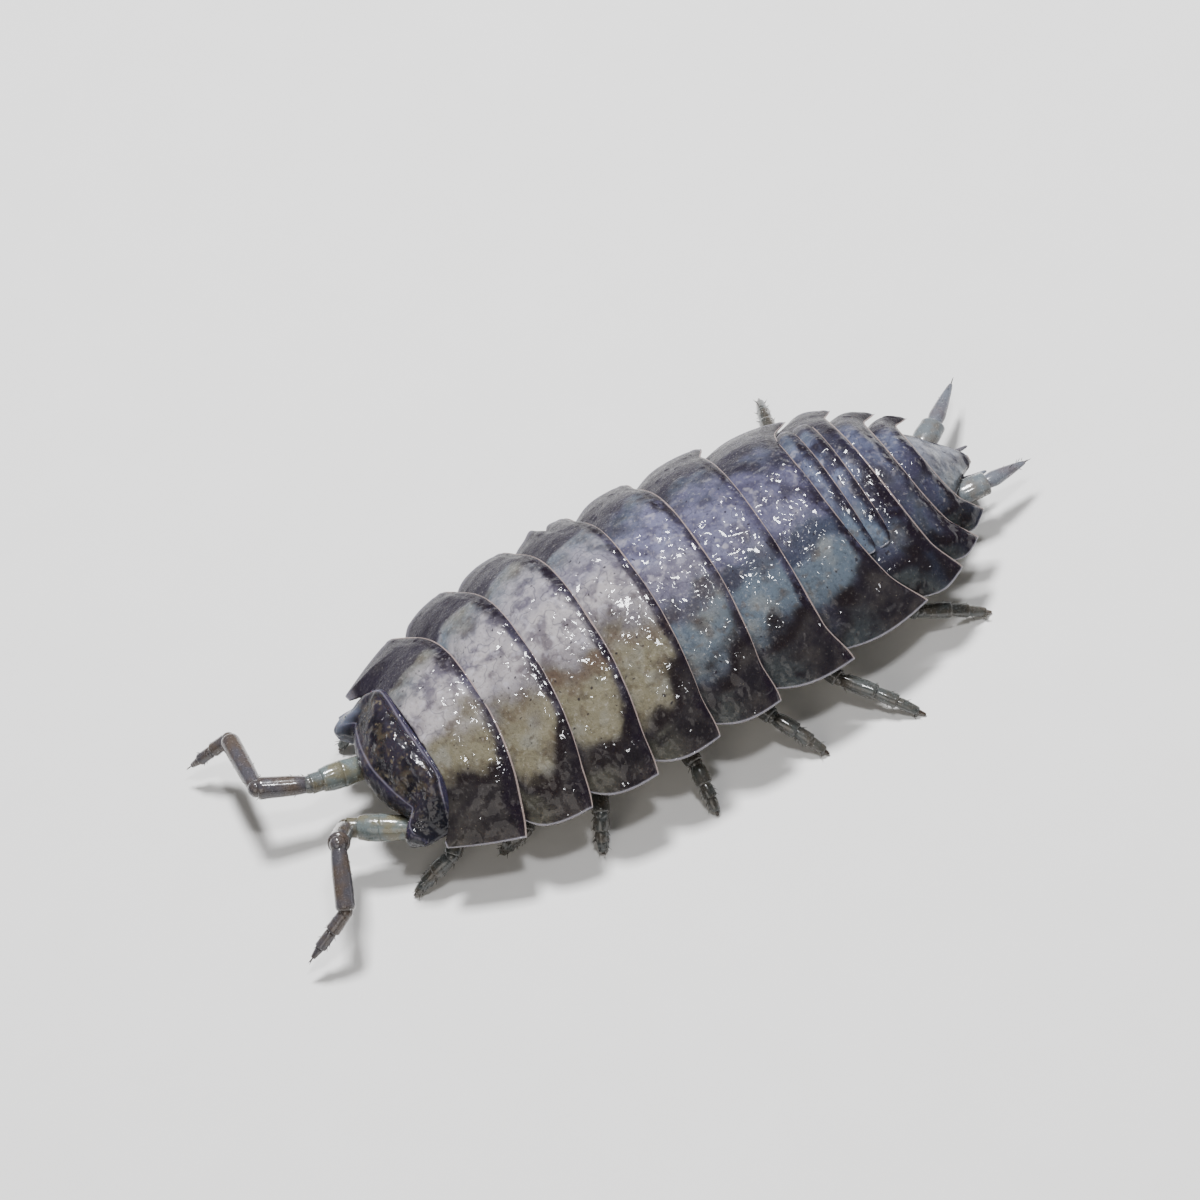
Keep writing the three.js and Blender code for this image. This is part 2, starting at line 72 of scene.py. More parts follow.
# Rear margins from the head to the last tail plate. y: the rear corners' place. lead: how far the
# middle lies in front of them. hook: how far the corners hook back. skew: how far the left one
# lies behind the middle of the two. half: half the width. edge: height of the side edges. rise:
# height of the middle over them. trunk: half the width of the trunk under the plate.
# power: how square the curve of the margin is.
SEAT = dict(y=-6.2, hook=0.0, lead=-0.92, half=2.36, edge=1.35, rise=1.22, trunk=1.35, power=5.5)
BACK = [
    dict(y=-4.49, hook=0.05, lead=-0.68, half=3.12, edge=1.35, rise=1.45, trunk=1.6),
    dict(y=-3.02, hook=0.08, lead=-0.55, half=3.4, edge=1.5, rise=1.62, trunk=1.85),
    dict(y=-1.51, hook=0.12, lead=-0.41, half=3.52, edge=1.52, rise=1.78, trunk=1.95),
    dict(y=0.0, hook=0.16, lead=-0.25, half=3.48, edge=1.55, rise=1.8, trunk=2.0),
    dict(y=1.47, hook=0.2, lead=-0.2, half=3.46, edge=1.55, rise=1.79, trunk=2.0),
    dict(y=3.26, hook=0.22, lead=0.24, half=3.39, edge=1.45, rise=1.84, trunk=1.9),
    dict(y=5.18, hook=0.15, lead=0.8, skew=0.08, half=2.96, edge=1.37, rise=1.77, trunk=1.7),
]
TAIL = [
    dict(y=5.02, hook=0.0, lead=0.22, half=2.93, edge=1.35, rise=1.74, trunk=1.5),
    dict(y=5.46, hook=0.0, lead=0.26, half=2.85, edge=1.35, rise=1.7, trunk=1.45),
    dict(y=6.15, hook=0.14, lead=0.53, skew=0.13, half=2.65, edge=1.35, rise=1.6, trunk=1.35),
    dict(y=6.87, hook=0.14, lead=0.67, skew=0.09, half=2.08, edge=1.22, rise=1.43, trunk=1.15),
    dict(y=7.34, hook=0.12, lead=0.59, skew=0.07, half=1.54, edge=1.24, rise=1.11, trunk=0.9),
]
TELSON_TIP_Y = 7.85


def margin_y(m, x):
    """y of a plate's rear margin at any x."""
    across = np.minimum(1, np.abs(x) / m["half"])
    sweep = (m["lead"] - m["hook"]) * (1 - across ** m.get("power", 3))
    hooked = m["hook"] * (1 - smooth(HOOK_START, 1, across))
    return m["y"] - sweep - hooked + m.get("skew", 0) * x / m["half"]


def arch_share(across):
    """Height of the back over its edges as a share of the rise: an arch whose sides flare out."""
    return (1 - across ** ARCH_POWER) * (1 - FLARE * across ** FLARE_POWER)


def mix(a, b, t):
    return a + (b - a) * t


def smooth(lo, hi, x):
    t = np.clip((np.asarray(x, float) - lo) / (hi - lo), 0, 1)
    return t * t * (3 - 2 * t)


def hump(centre, width, x):
    return np.exp(-(((x - centre) / width) ** 2))


def grain(points, size, seed):
    """Soft random relief, -1 to 1, whose lumps are about `size` millimetres across."""
    p = points / size + seed * 17.31
    cell = np.floor(p).astype(np.int64)
    f = p - cell
    f = f * f * (3 - 2 * f)
    total = np.zeros(p.shape[:-1])
    for dx in (0, 1):
        for dy in (0, 1):
            for dz in (0, 1):
                i, j, k = cell[..., 0] + dx, cell[..., 1] + dy, cell[..., 2] + dz
                h = (i * 73856093) ^ (j * 19349663) ^ (k * 83492791) ^ (seed * 2654435)
                h = (h ^ (h >> 13)) * 1274126177 & 0x7FFFFFFF
                value = (h % 65536) / 32767.5 - 1
                wx = f[..., 0] if dx else 1 - f[..., 0]
                wy = f[..., 1] if dy else 1 - f[..., 1]
                wz = f[..., 2] if dz else 1 - f[..., 2]
                total += value * wx * wy * wz
    return total


def grid_normals(p):
    along = np.gradient(p, axis=0)
    across = np.gradient(p, axis=1)
    n = np.cross(across, along)
    return n / np.maximum(np.linalg.norm(n, axis=-1, keepdims=True), 1e-9)


def linear(hex_colour):
    """sRGB hex to linear red, green, blue, alpha."""
    parts = [int(hex_colour[i:i + 2], 16) / 255 for i in (1, 3, 5)]
    return [c / 12.92 if c <= 0.04045 else ((c + 0.055) / 1.055) ** 2.4 for c in parts] + [1.0]


# ---- meshes

def mesh_piece(name, points, faces, material, tones=None):
    """One mesh in the library's frame from points in millimetres; tones are colour masks per point."""
    points = (np.asarray(points, float).reshape(-1, 3) + SHIFT) * MM
    data = bpy.data.meshes.new(name)
    data.from_pydata(points.tolist(), [], [tuple(map(int, f)) for f in faces])
    data.validate()
    for key, values in (tones or {}).items():
        layer = data.attributes.new(key, "FLOAT", "POINT")
        layer.data.foreach_set("value", np.asarray(values, np.float32).ravel())
    for polygon in data.polygons:
        polygon.use_smooth = True
    data.materials.append(material)
    piece = bpy.data.objects.new(name, data)
    bpy.context.collection.objects.link(piece)
    return piece


def grid_faces(rows, columns, start=0, flip=False, wrap=False):
    faces = []
    for r in range(rows - 1):
        for c in range(columns if wrap else columns - 1):
            d = (c + 1) % columns
            quad = (start + r * columns + c, start + r * columns + d,
                    start + (r + 1) * columns + d, start + (r + 1) * columns + c)
            faces.append(quad[::-1] if flip else quad)
    return faces


def end_fans(rows, columns, flip=False):
    """Triangles that close both ends of a wrapped grid; their two middle points come after the grid's."""
    first, last, base = rows * columns, rows * columns + 1, (rows - 1) * columns
    fans = []
    for k in range(columns):
        following = (k + 1) % columns
        fans.append((first, following, k))
        fans.append((last, base + k, base + following))
    return [fan[::-1] for fan in fans] if flip else fans


# how far the rounded edge of a plate stands out, as a share of its thickness
EDGE_ROUNDING = 0.42


def shell(outer, thickness, masks):
    """A thin plate: the outer surface, a rounded edge and the inner surface, as one closed mesh."""
    rows, columns = outer.shape[:2]
    normals = grid_normals(outer)
    inner = outer - normals * thickness[..., None]
    middle = (outer + inner) / 2
    loop = ([(0, c) for c in range(columns)] + [(r, columns - 1) for r in range(1, rows)]
            + [(rows - 1, c) for c in range(columns - 2, -1, -1)] + [(r, 0) for r in range(rows - 2, 0, -1)])
    rim = []
    for r, c in loop:
        inward = middle[min(max(r, 2), rows - 3), min(max(c, 2), columns - 3)]
        away = middle[r, c] - inward
        away = away - normals[r, c] * np.dot(away, normals[r, c])
        away = away / max(np.linalg.norm(away), 1e-9)
        rim.append(middle[r, c] + away * thickness[r, c] * EDGE_ROUNDING)
    count = rows * columns
    points = np.concatenate([outer.reshape(-1, 3), inner.reshape(-1, 3), np.array(rim)])
    faces = grid_faces(rows, columns) + grid_faces(rows, columns, start=count, flip=True)
    for k, (r, c) in enumerate(loop):
        r2, c2 = loop[(k + 1) % len(loop)]
        a, b = r * columns + c, r2 * columns + c2
        m, n = 2 * count + k, 2 * count + (k + 1) % len(loop)
        faces.append((b, a, m, n))
        faces.append((n, m, a + count, b + count))
    tones = {}
    for key, values in masks.items():
        flat = values.reshape(-1)
        tones[key] = np.concatenate([flat, flat, [values[r, c] for r, c in loop]])
    return points, faces, tones


def tube(path, radii, sides, squash=1.0):
    """A round limb through points, closed at both ends; squash flattens it along its own up."""
    path = np.asarray(path, float)
    radii = np.asarray(radii, float)
    along = np.gradient(path, axis=0)
    along /= np.linalg.norm(along, axis=1, keepdims=True)
    side = np.cross([0, 0, 1.0], along[0])
    side /= np.linalg.norm(side)
    angles = np.linspace(0, 2 * math.pi, sides, endpoint=False)[:, None]
    rings = []
    for i in range(len(path)):
        side = side - along[i] * np.dot(side, along[i])
        side /= np.linalg.norm(side)
        up = np.cross(along[i], side)
        rings.append(path[i] + radii[i] * (np.cos(angles) * side + np.sin(angles) * up * squash))
    points = np.concatenate(rings + [[path[0], path[-1]]])
    return points, grid_faces(len(path), sides, wrap=True) + end_fans(len(path), sides)


def joined(parts):
    """Several meshes with their tones as one."""
    points, faces, tones, start = [], [], {}, 0
    for p, f, t in parts:
        points.append(p)
        faces += [tuple(i + start for i in face) for face in f]
        for key, values in t.items():
            tones.setdefault(key, []).append(np.asarray(values, float) * np.ones(len(p)))
        start += len(p)
    return np.concatenate(points), faces, {k: np.concatenate(v) for k, v in tones.items()}


# ---- finishes

def node(tree, kind, links=None, out=0, **settings):
    """Adds one node with its settings, joins or sets its inputs, and gives back one output."""
    made = tree.nodes.new(kind)
    for key, value in settings.items():
        setattr(made, key, value)
    for key, value in (links or {}).items():
        if isinstance(value, bpy.types.NodeSocket):
            tree.links.new(value, made.inputs[key])
        else:
            made.inputs[key].default_value = value
    return made.outputs[out]


def finish(name, masks=(), **uniform):
    """A new material with its surface shader, the piece's own place in space, which all patterns
    start from, and the masks that its meshes carry. Uniform values go straight on the shader."""
    material = bpy.data.materials.new(name)
    material.use_nodes = True
    tree = material.node_tree
    surface = next(n for n in tree.nodes if n.type == "BSDF_PRINCIPLED")
    for key, value in uniform.items():
        surface.inputs[key.replace("_", " ")].default_value = value
    mask = {key: node(tree, "ShaderNodeAttribute", out=2, attribute_name=key) for key in masks}
    return material, tree, surface, node(tree, "ShaderNodeTexCoord", out=3), mask


def blotches(tree, at, size, seed, detail=3.0, rough=0.55):
    """Random blotches about `size` millimetres across."""
    moved = node(tree, "ShaderNodeVectorMath", {0: at, 1: (seed * 0.0131, seed * 0.0077, seed * 0.0053)},
                 operation="ADD")
    return node(tree, "ShaderNodeTexNoise",
                {"Vector": moved, "Scale": 1 / (size * MM), "Detail": detail, "Roughness": rough})


def slope(value, rise, span=(0.0, 1.0)):
    """Inputs that take a value from the two levels of rise to the two levels of span."""
    return {"Value": value, "From Min": rise[0], "From Max": rise[1], "To Min": span[0], "To Max": span[1]}


def lay(tree, under, over, where, rise=None, most=1.0):
    """Lays one colour over another where a mask says: rise sharpens the mask between two levels,
    and most is how strongly the colour covers there."""
    if rise:
        where = node(tree, "ShaderNodeMapRange", slope(where, rise, (0.0, most)), interpolation_type="SMOOTHSTEP")
    elif most != 1.0:
        where = node(tree, "ShaderNodeMath", {0: where, 1: most}, operation="MULTIPLY")
    under, over = (linear(colour) if isinstance(colour, str) else colour for colour in (under, over))
    return node(tree, "ShaderNodeMix", {0: where, 6: under, 7: over}, out=2, data_type="RGBA", blend_type="MIX")


def frayed(tree, mask, pattern, amount):
    """A mask whose border wanders with a pattern."""
    centred = node(tree, "ShaderNodeMath", {0: pattern, 1: 0.5}, operation="SUBTRACT")
    swing = node(tree, "ShaderNodeMath", {0: centred, 1: amount}, operation="MULTIPLY")
    return node(tree, "ShaderNodeMath", {0: mask, 1: swing}, operation="ADD")


def uneven(tree, mask, pattern, rise, span=(0.0, 1.0)):
    """A mask made weaker where a pattern is low."""
    share = node(tree, "ShaderNodeMapRange", slope(pattern, rise, span), interpolation_type="SMOOTHSTEP")
    return node(tree, "ShaderNodeMath", {0: mask, 1: share}, operation="MULTIPLY")


def drive(tree, surface, socket, pattern, rise, span):
    """Lets a pattern carry one value of the surface from one level to another."""
    level = node(tree, "ShaderNodeMapRange", slope(pattern, rise, span), interpolation_type="SMOOTHSTEP")
    tree.links.new(level, surface.inputs[socket])


def relief(tree, surface, heights, depth, layer="Normal"):
    """Bumps up to `depth` millimetres from the sum of (height, share) pairs, on the skin itself or
    on the coat over it."""
    total = 0.0
    for height, share in heights:
        total = node(tree, "ShaderNodeMath", {0: height, 1: share, 2: total}, operation="MULTIPLY_ADD")
    bump = node(tree, "ShaderNodeBump", {"Height": total, "Strength": 1.0, "Distance": depth * MM})
    tree.links.new(bump, surface.inputs[layer])


# the two levels between which most of a blotch pattern lies
MOST_OF_IT = (0.3, 0.7)


# Cuticle of the back: a glassy skin a few hundredths of a millimetre thick, wet, over dark pigment
# and pale muscle. The eye sees a milky crest, cream and bluish muscle deep under a clear coat, smoky
# margins, a dark band and a thin warm lip on each plate, and glints broken by bumps like orange
# peel, 0.2 to 0.7 mm across as on the animal. Its pigment cells are about 0.02 mm across, too fine
# to show, so they are drawn as grains of 0.03 and 0.08 mm. The coat thins out towards the right
# side (mask "dry"), where the pale floor would veil the dark flank.
def back_plate_finish(name, violet, dark, cream, blue, milk, smoke_light):
    material, tree, surface, at, mask = finish(
        name, ("flank", "crest", "gap", "band", "lip", "blotch", "clear", "rim", "pale", "cream", "far", "dry"),
        Coat_Roughness=0.045, Coat_IOR=1.32, IOR=1.38, Specular_IOR_Level=0.03, Subsurface_Weight=0.15,
        Subsurface_Scale=0.0003, Subsurface_Radius=(1.0, 0.85, 0.7))
    broad = blotches(tree, at, 1.0, 1, 2.0, 0.45)
    islands = blotches(tree, at, 0.55, 8, 1.5, 0.45)
    patchy = blotches(tree, at, 0.4, 2, 2.0, 0.45)
    cells = blotches(tree, at, 0.2, 6, 1.5, 0.5)
    fine = blotches(tree, at, 0.08, 3, 2.0)
    dust = blotches(tree, at, 0.03, 4, 1.0, 0.5)
    # creases run where this pattern passes its middle level
    folds = node(tree, "ShaderNodeMath", {0: blotches(tree, at, 0.36, 15, 1.2, 0.4), 1: 0.5}, operation="SUBTRACT")
    crease = node(tree, "ShaderNodeMath", {0: folds}, operation="ABSOLUTE")

    # violet-grey ground with dark clouds, browner towards the head
    ground = lay(tree, violet, dark, patchy, (0.4, 0.66), 0.85)
    ground = lay(tree, ground, "#3f3935", mask["cream"], most=0.5)
    # milky crest along the middle of the back, whiter towards the head, clouded, with painted shade along its creases
    crest = lay(tree, milk, "#8c8788", mask["cream"], (0.18, 0.48))
    # painted shade: the crest darkens in the creases of its bumps
    crest = lay(tree, crest, "#35323f", crease, (0.03, 0.0), 0.5)
    cloudy = lay(tree, violet, "#524b50", mask["cream"])
    crest = lay(tree, crest, cloudy, patchy, (0.46, 0.64), 0.8)
    crest = lay(tree, crest, cloudy, broad, (0.5, 0.66), 0.5)
    crest = lay(tree, crest, "#a09ca4", cells, (0.54, 0.72), 0.45)
    colour = lay(tree, ground, crest, frayed(tree, mask["crest"], islands, 1.1), (0.05, 1.0), 0.95)
    # muscle shining through on the flanks: cream towards the head, bluish towards the tail
    muscle = lay(tree, blue, cream, frayed(tree, mask["cream"], broad, 0.9), (0.2, 0.8))
    muscle = lay(tree, muscle, "#7a7a74", islands, (0.5, 0.7), 0.4)
    muscle = lay(tree, muscle, "#3a332e", patchy, (0.52, 0.72), 0.6)
    muscle = lay(tree, muscle, "#463b2d", cells, (0.56, 0.7), 0.4)
    colour = lay(tree, colour, muscle, frayed(tree, mask["flank"], patchy, 0.8), (0.0, 1.0), 0.95)
    # darker gap between crest and muscle
    gap = lay(tree, "#252938", "#4b3d31", mask["cream"])
    colour = lay(tree, colour, gap, frayed(tree, mask["gap"], patchy, 1.0), (0.3, 0.95), 0.8)
    # smoky margin, with a clearer place behind each front corner
    smoke = lay(tree, "#171415", smoke_light, patchy, (0.3, 0.75))
    colour = lay(tree, colour, smoke, mask["clear"], most=0.94)
    clearer = lay(tree, "#2f3437", "#3d3b33", mask["cream"])
    colour = lay(tree, colour, clearer, uneven(tree, mask["pale"], patchy, (0.25, 0.55)))
    # brown-black clouds low on each side, and painted shade over the right side, strongest on its outer part
    colour = lay(tree, colour, "#171214", frayed(tree, mask["blotch"], patchy, 1.4), (0.3, 1.15), 0.92)
    colour = lay(tree, colour, "#1f1b24", frayed(tree, mask["far"], islands, 1.0), (0.05, 0.9), 0.93)
    # uneven dark band in front of the lip
    colour = lay(tree, colour, "#18131a", uneven(tree, mask["band"], cells, (0.3, 0.6), (0.5, 1.0)))
    # pigment grains: fine dark ones, pale ones that are fewer in the margin, pits and pale dust
    colour = lay(tree, colour, "#16131a", fine, (0.46, 0.3), 0.25)
    grains = uneven(tree, 0.22, fine, (0.58, 0.76))
    colour = lay(tree, colour, "#a09c98", uneven(tree, grains, mask["clear"], (0.9, 0.1), (0.25, 1.0)))
    colour = lay(tree, colour, "#1c181e", blotches(tree, at, 0.12, 11, 1.0), (0.68, 0.78), 0.8)
    colour = lay(tree, colour, "#b0a890", dust, (0.74, 0.82), 0.3)
    # warm lip at the rear and grey rim at the side, where light comes through the bare edge
    colour = lay(tree, colour, "#82746f", mask["lip"], most=0.85)
    colour = lay(tree, colour, "#7a7880", mask["rim"], most=0.7)
    tree.links.new(colour, surface.inputs["Base Color"])
    drive(tree, surface, "Roughness", fine, MOST_OF_IT, (0.14, 0.34))
    drive(tree, surface, "Coat Weight", mask["dry"], (0.0, 1.0), (0.68, 0.05))
    peel = blotches(tree, at, 0.32, 12, 0.8, 0.4)
    ripple = blotches(tree, at, 0.16, 14, 0.0)
    wave = blotches(tree, at, 0.7, 13, 0.0)
    relief(tree, surface, [(peel, 0.8), (crease, 0.9), (ripple, 0.15), (wave, 0.8)], 0.12, "Coat Normal")
    relief(tree, surface, [(fine, 0.7), (dust, 0.3)], 0.02)
    return material


back_cuticle = back_plate_finish("wet back cuticle", violet="#403e51", dark="#231f28", cream="#635e4d",
                                 blue="#4a535c", milk="#5b5b70", smoke_light="#302d2c")
tail_cuticle = back_plate_finish("wet tail cuticle", violet="#2c2b3c", dark="#151319", cream="#474b52",
                                 blue="#515c6b", milk="#565c70", smoke_light="#1e212b")
tip_cuticle = back_plate_finish("pale tail tip cuticle", violet="#55575f", dark="#3a3a42", cream="#5e5e5a",
                                blue="#687078", milk="#777a84", smoke_light="#4a4d54")


# Cuticle of the head: the same glassy skin over dense dark pigment. The eye sees a near-black
# shield strewn with beige and gold grains, with a bluish rim and two thin pale lines of painted
# highlight along its rims.
def head_finish():
    material, tree, surface, at, mask = finish(
        "grained head cuticle", ("lip", "rim_highlight", "clear", "plain", "dry"), Coat_Roughness=0.04, Coat_IOR=1.42,
        IOR=1.4, Specular_IOR_Level=0.05, Subsurface_Weight=0.06, Subsurface_Scale=0.0003)
    broad = blotches(tree, at, 0.5, 21, 2.0)
    fine = blotches(tree, at, 0.14, 22, 2.0)
    dust = blotches(tree, at, 0.04, 23, 2.0)
    colour = lay(tree, "#141217", "#26222a", broad, (0.36, 0.66))
    colour = lay(tree, colour, "#453d31", blotches(tree, at, 0.26, 26, 2.0), (0.48, 0.7), 0.6)
    colour = lay(tree, colour, "#5d5545", fine, (0.6, 0.74), 0.6)
    colour = lay(tree, colour, "#aaa28c", blotches(tree, at, 0.07, 24, 1.0), (0.76, 0.84), 0.9)
    colour = lay(tree, colour, "#15151c", mask["plain"], most=0.9)
    colour = lay(tree, colour, "#322e44", mask["lip"], most=0.8)
    # painted highlight: thin pale lines along the rear rim and the brow rim
    colour = lay(tree, colour, "#7d7988", mask["rim_highlight"], most=0.5)
    colour = lay(tree, colour, "#4d515e", mask["clear"], most=0.9)
    tree.links.new(colour, surface.inputs["Base Color"])
    drive(tree, surface, "Roughness", fine, MOST_OF_IT, (0.18, 0.42))
    drive(tree, surface, "Coat Weight", mask["dry"], (0.0, 1.0), (0.85, 0.1))
    relief(tree, surface, [(blotches(tree, at, 0.22, 25, 0.6), 1.0), (fine, 0.3)], 0.1, "Coat Normal")
    relief(tree, surface, [(fine, 0.8), (dust, 0.3)], 0.02)
    return material


head_cuticle = head_finish()


# Cuticle of feelers, legs and tail limbs: thin and half clear over pale muscle. The eye sees milky
# articles with a little light in them, darker soft joints, brown claws and a wet gloss.
def limb_finish(name, milk, beige, soft_joint):
    material, tree, surface, at, mask = finish(
        name, ("joint", "claw", "milky"), Coat_Weight=0.9, Coat_Roughness=0.06, Coat_IOR=1.35, IOR=1.4,
        Specular_IOR_Level=0.2, Subsurface_Weight=0.25, Subsurface_Scale=0.0003,
        Subsurface_Radius=(0.9, 0.95, 1.0), Transmission_Weight=0.25)
    broad, fine = blotches(tree, at, 0.4, 31), blotches(tree, at, 0.07, 32)
    colour = lay(tree, milk, beige, broad, (0.36, 0.66))
    colour = lay(tree, colour, "#6d6f74", fine, (0.56, 0.74), 0.12)
    aqua = lay(tree, "#66706f", "#6d6a57", broad, (0.4, 0.6))
    colour = lay(tree, colour, aqua, mask["milky"])
    colour = lay(tree, colour, soft_joint, mask["joint"], most=0.4)
    colour = lay(tree, colour, "#33241a", mask["claw"])
    tree.links.new(colour, surface.inputs["Base Color"])
    drive(tree, surface, "Roughness", fine, MOST_OF_IT, (0.12, 0.3))
    relief(tree, surface, [(fine, 0.2), (blotches(tree, at, 0.2, 33), 0.6)], 0.012)
    return material


feeler_cuticle = limb_finish("milky feeler cuticle", "#48464b", "#50463f", "#38302b")
leg_cuticle = limb_finish("milky leg cuticle", "#454847", "#4b463f", "#2e2926")
tail_limb_cuticle = limb_finish("tail limb cuticle", "#646870", "#625e63", "#4b4648")


# Skin of the underside: soft, dull and thin. The eye sees cream with grey folds and fine stipple.
def under_finish(name, pale, grey):
    material, tree, surface, at, _ = finish(name, Coat_Weight=0.2, Coat_Roughness=0.25,
                                            Subsurface_Weight=0.2, Subsurface_Scale=0.0004)
    broad, fine = blotches(tree, at, 0.6, 41), blotches(tree, at, 0.1, 42)
    colour = lay(tree, pale, grey, broad, (0.36, 0.66))
    colour = lay(tree, colour, "#6d675f", fine, (0.55, 0.7), 0.35)
    tree.links.new(colour, surface.inputs["Base Color"])
    drive(tree, surface, "Roughness", fine, MOST_OF_IT, (0.38, 0.6))
    relief(tree, surface, [(fine, 0.7), (broad, 0.4)], 0.05)
    return material


under_skin = under_finish("pale underside skin", "#b8b4a2", "#8f8e88")
gill_skin = under_finish("gill plate skin", "#a19f93", "#77787a")


# Cornea of the eye: clear beads over black pigment. The eye sees black glass with sharp glints.
def eye_finish():
    material, tree, surface, at, _ = finish("black eye bead", Coat_Weight=1.0, Coat_Roughness=0.04)
    fine = blotches(tree, at, 0.05, 51)
    tree.links.new(lay(tree, "#08070a", "#1d1820", fine), surface.inputs["Base Color"])
    drive(tree, surface, "Roughness", fine, MOST_OF_IT, (0.12, 0.3))
    relief(tree, surface, [(fine, 1.0)], 0.01)
    return material


eye_bead = eye_finish()


# ---- back plates

# points across a plate, closest together at its edges
ACROSS = 190
EDGE_CROWDING = 1.25
# rows from under the plate before it (below 0) to its own rear margin (1), closest together there
ROWS = np.concatenate([np.linspace(-0.16, 0, 6, endpoint=False), np.linspace(0, 0.8, 46, endpoint=False),
                       0.8 + 0.2 * (1 - (1 - np.linspace(0, 1, 24)) ** 1.6)])
# how far the two short tail plates reach, as a share of the half width
SHORT_REACH = 0.64
# turns shares of the half width to millimetres well enough for edges
HALF_WIDTH = 3.2


def plate_surface(front, back, front_y, rows, step_in=STEP_IN, corner_in=CORNER_IN, scar=None, reach=1.0,
                  sink=0.0):
    """Outer surface of one plate: rows front to back, columns from the left edge to the right edge.
    reach cuts the flanks short; sink lowers the part that lies under other plates."""
    t = np.linspace(1, -1, ACROSS)
    u, v = np.meshgrid(np.sign(t) * (1 - (1 - np.abs(t)) ** EDGE_CROWDING) * reach, rows)
    if reach < 1:
        # short plates round off behind
        u = u * (1 - 0.09 * smooth(0.45, 1, v) ** 2)
    shown = np.clip(v, 0, 1)
    hidden = np.minimum(v, 0)
    bulge = np.sin(math.pi * shown)
    half = (mix(front["half"] - step_in, back["half"], shown) - corner_in * (1 - shown) ** 4
            + SIDE_BULGE * bulge + 0.9 * hidden)
    rise = mix(front["rise"] - STEP_DOWN, back["rise"], shown ** 0.8) + 0.05 * bulge
    rise = rise - sink * (1 - smooth(0.45, 0.95, shown))
    x = half * u
    z = mix(front["edge"], back["edge"], shown) + rise * arch_share(np.abs(u)) + 0.25 * hidden
    y = mix(front_y(x), margin_y(back, x), v)
    if scar is not None:
        x = x + scar(u, shown)
    return np.stack([x, y, z], -1), u, v


def dress_plate(name, stands_for, shape, seed, material, slot_name, length, flank=1.0, thickness=0.1,
                reach=1.0, cream=0.2, lower=0.0, crest=0.5, gap=0.6, far_shade=0.5, far_start=0.42, corner=0.85):
    """Relief and colour masks of one plate, and the plate itself. length is how much of it shows,
    in millimetres. cream, crest, gap, far_shade and corner say how strong the cream muscle, milky
    crest, gap beside it, painted shade on the right side and clear front corner are, lower how
    much further down the muscle reaches, and far_start where the strongest painted shade on the
    right side starts."""
    surface, u, v = shape
    normals = grid_normals(surface)
    side = np.abs(u)
    to_lip = (1 - v) * length
    to_side = (reach - side) * HALF_WIDTH
    # raised lip with a furrow before it, lumps that fade out down the sides, and sparse pits
    bead = 0.014 * hump(0.025, 0.03, to_lip) - 0.012 * hump(0.12, 0.06, to_lip)
    bead += 0.008 * hump(0.02, 0.03, to_side)
    ridge = 1 - 0.65 * smooth(0.35, 0.7, side)
    lumps = 0.022 * grain(surface, 0.8, seed) + 0.016 * grain(surface, 0.36, seed + 1)
    lumps += ridge * (0.007 * grain(surface, 0.2, seed + 2) + 0.003 * grain(surface, 0.11, seed + 4))
    calm = smooth(0.0, 0.1, to_lip) * (0.3 + 0.7 * smooth(0.0, 0.7, to_side))
    pits = -0.014 * smooth(0.7, 0.85, grain(surface, 0.16, seed + 3)) * calm
    shaped = surface + normals * (bead + lumps * calm + pits)[..., None]
    wander = 0.11 * grain(surface, 0.9, seed + 5) + 0.06 * grain(surface, 0.35, seed + 6)
    # how far down the side, for the muscle and for the dark, which reaches higher near the lip
    low = side + wander - lower
    dark_low = low + 0.13 * smooth(0.4, 1.0, v) - 0.02
    # how far over to the right side
    away = -u + 1.5 * wander
    masks = {
        "flank": flank * smooth(0.1, 0.6, low) * (1 - smooth(0.66, 0.86, dark_low)) * smooth(0.02, 0.3, to_lip)
        * (1 - 0.7 * smooth(0.4, 0.55, away)),
        "crest": crest * (1 - smooth(0.08, 0.5, u + wander)) * (1 - smooth(0.4, 0.56, away))
        * smooth(0.05, 0.3, to_lip),
        "gap": gap * hump(0.4, 0.1, side + 0.7 * wander) * (u > 0),
        "band": smooth(0.03, 0.05, to_lip) * (1 - smooth(0.1, 0.32, to_lip + 2 * wander))
        * (0.6 + 0.4 * smooth(0, 0.4, side)),
        "lip": (1 - smooth(0.02, 0.035, to_lip)) * (v > 0.5),
        "blotch": hump(0.76, 0.08, dark_low) * smooth(0.0, 0.3, v),
        "clear": smooth(0.62, 0.82, dark_low),
        # painted shade over the right side, strongest from far_start outwards; far_shade sets a weaker, wider part
        "far": np.maximum(smooth(far_start, far_start + 0.16, away) * (1 - 0.3 * smooth(0.75, 0.95, away)),
                          far_shade * smooth(0.15, 0.45, away)),
        "pale": corner * smooth(0.79, 0.88, low) * (1 - smooth(0.2, 0.62, v)) * (u > 0),
        "rim": np.maximum(1 - smooth(0.012, 0.032, to_side), 0.55 * (1 - smooth(0.03, 0.2, to_side)) * (u < 0)),
        "cream": cream * (0.45 + 0.55 * smooth(-0.15, 0.15, u)),
        "dry": smooth(-0.05, 0.6, -u),
    }
    thick = thickness * (0.35 + 0.65 * smooth(0, 0.35, to_lip)) * (0.4 + 0.6 * smooth(0, 0.5, to_side))
    points, faces, tones = shell(shaped, thick, masks)
    piece = mesh_piece(name, points, faces, material, tones)
    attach(piece, "root")
    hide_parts(stands_for)


def scar_lobes(u, v):
    """Old injury on the fourth right plate: a cleft between two lobes."""
    lobe = 0.12 * hump(0.5, 0.12, v)
    cleft = 0.34 * hump(0.62, 0.07, v)
    return np.where(u < 0, (cleft - lobe) * np.abs(u) ** 8, 0)


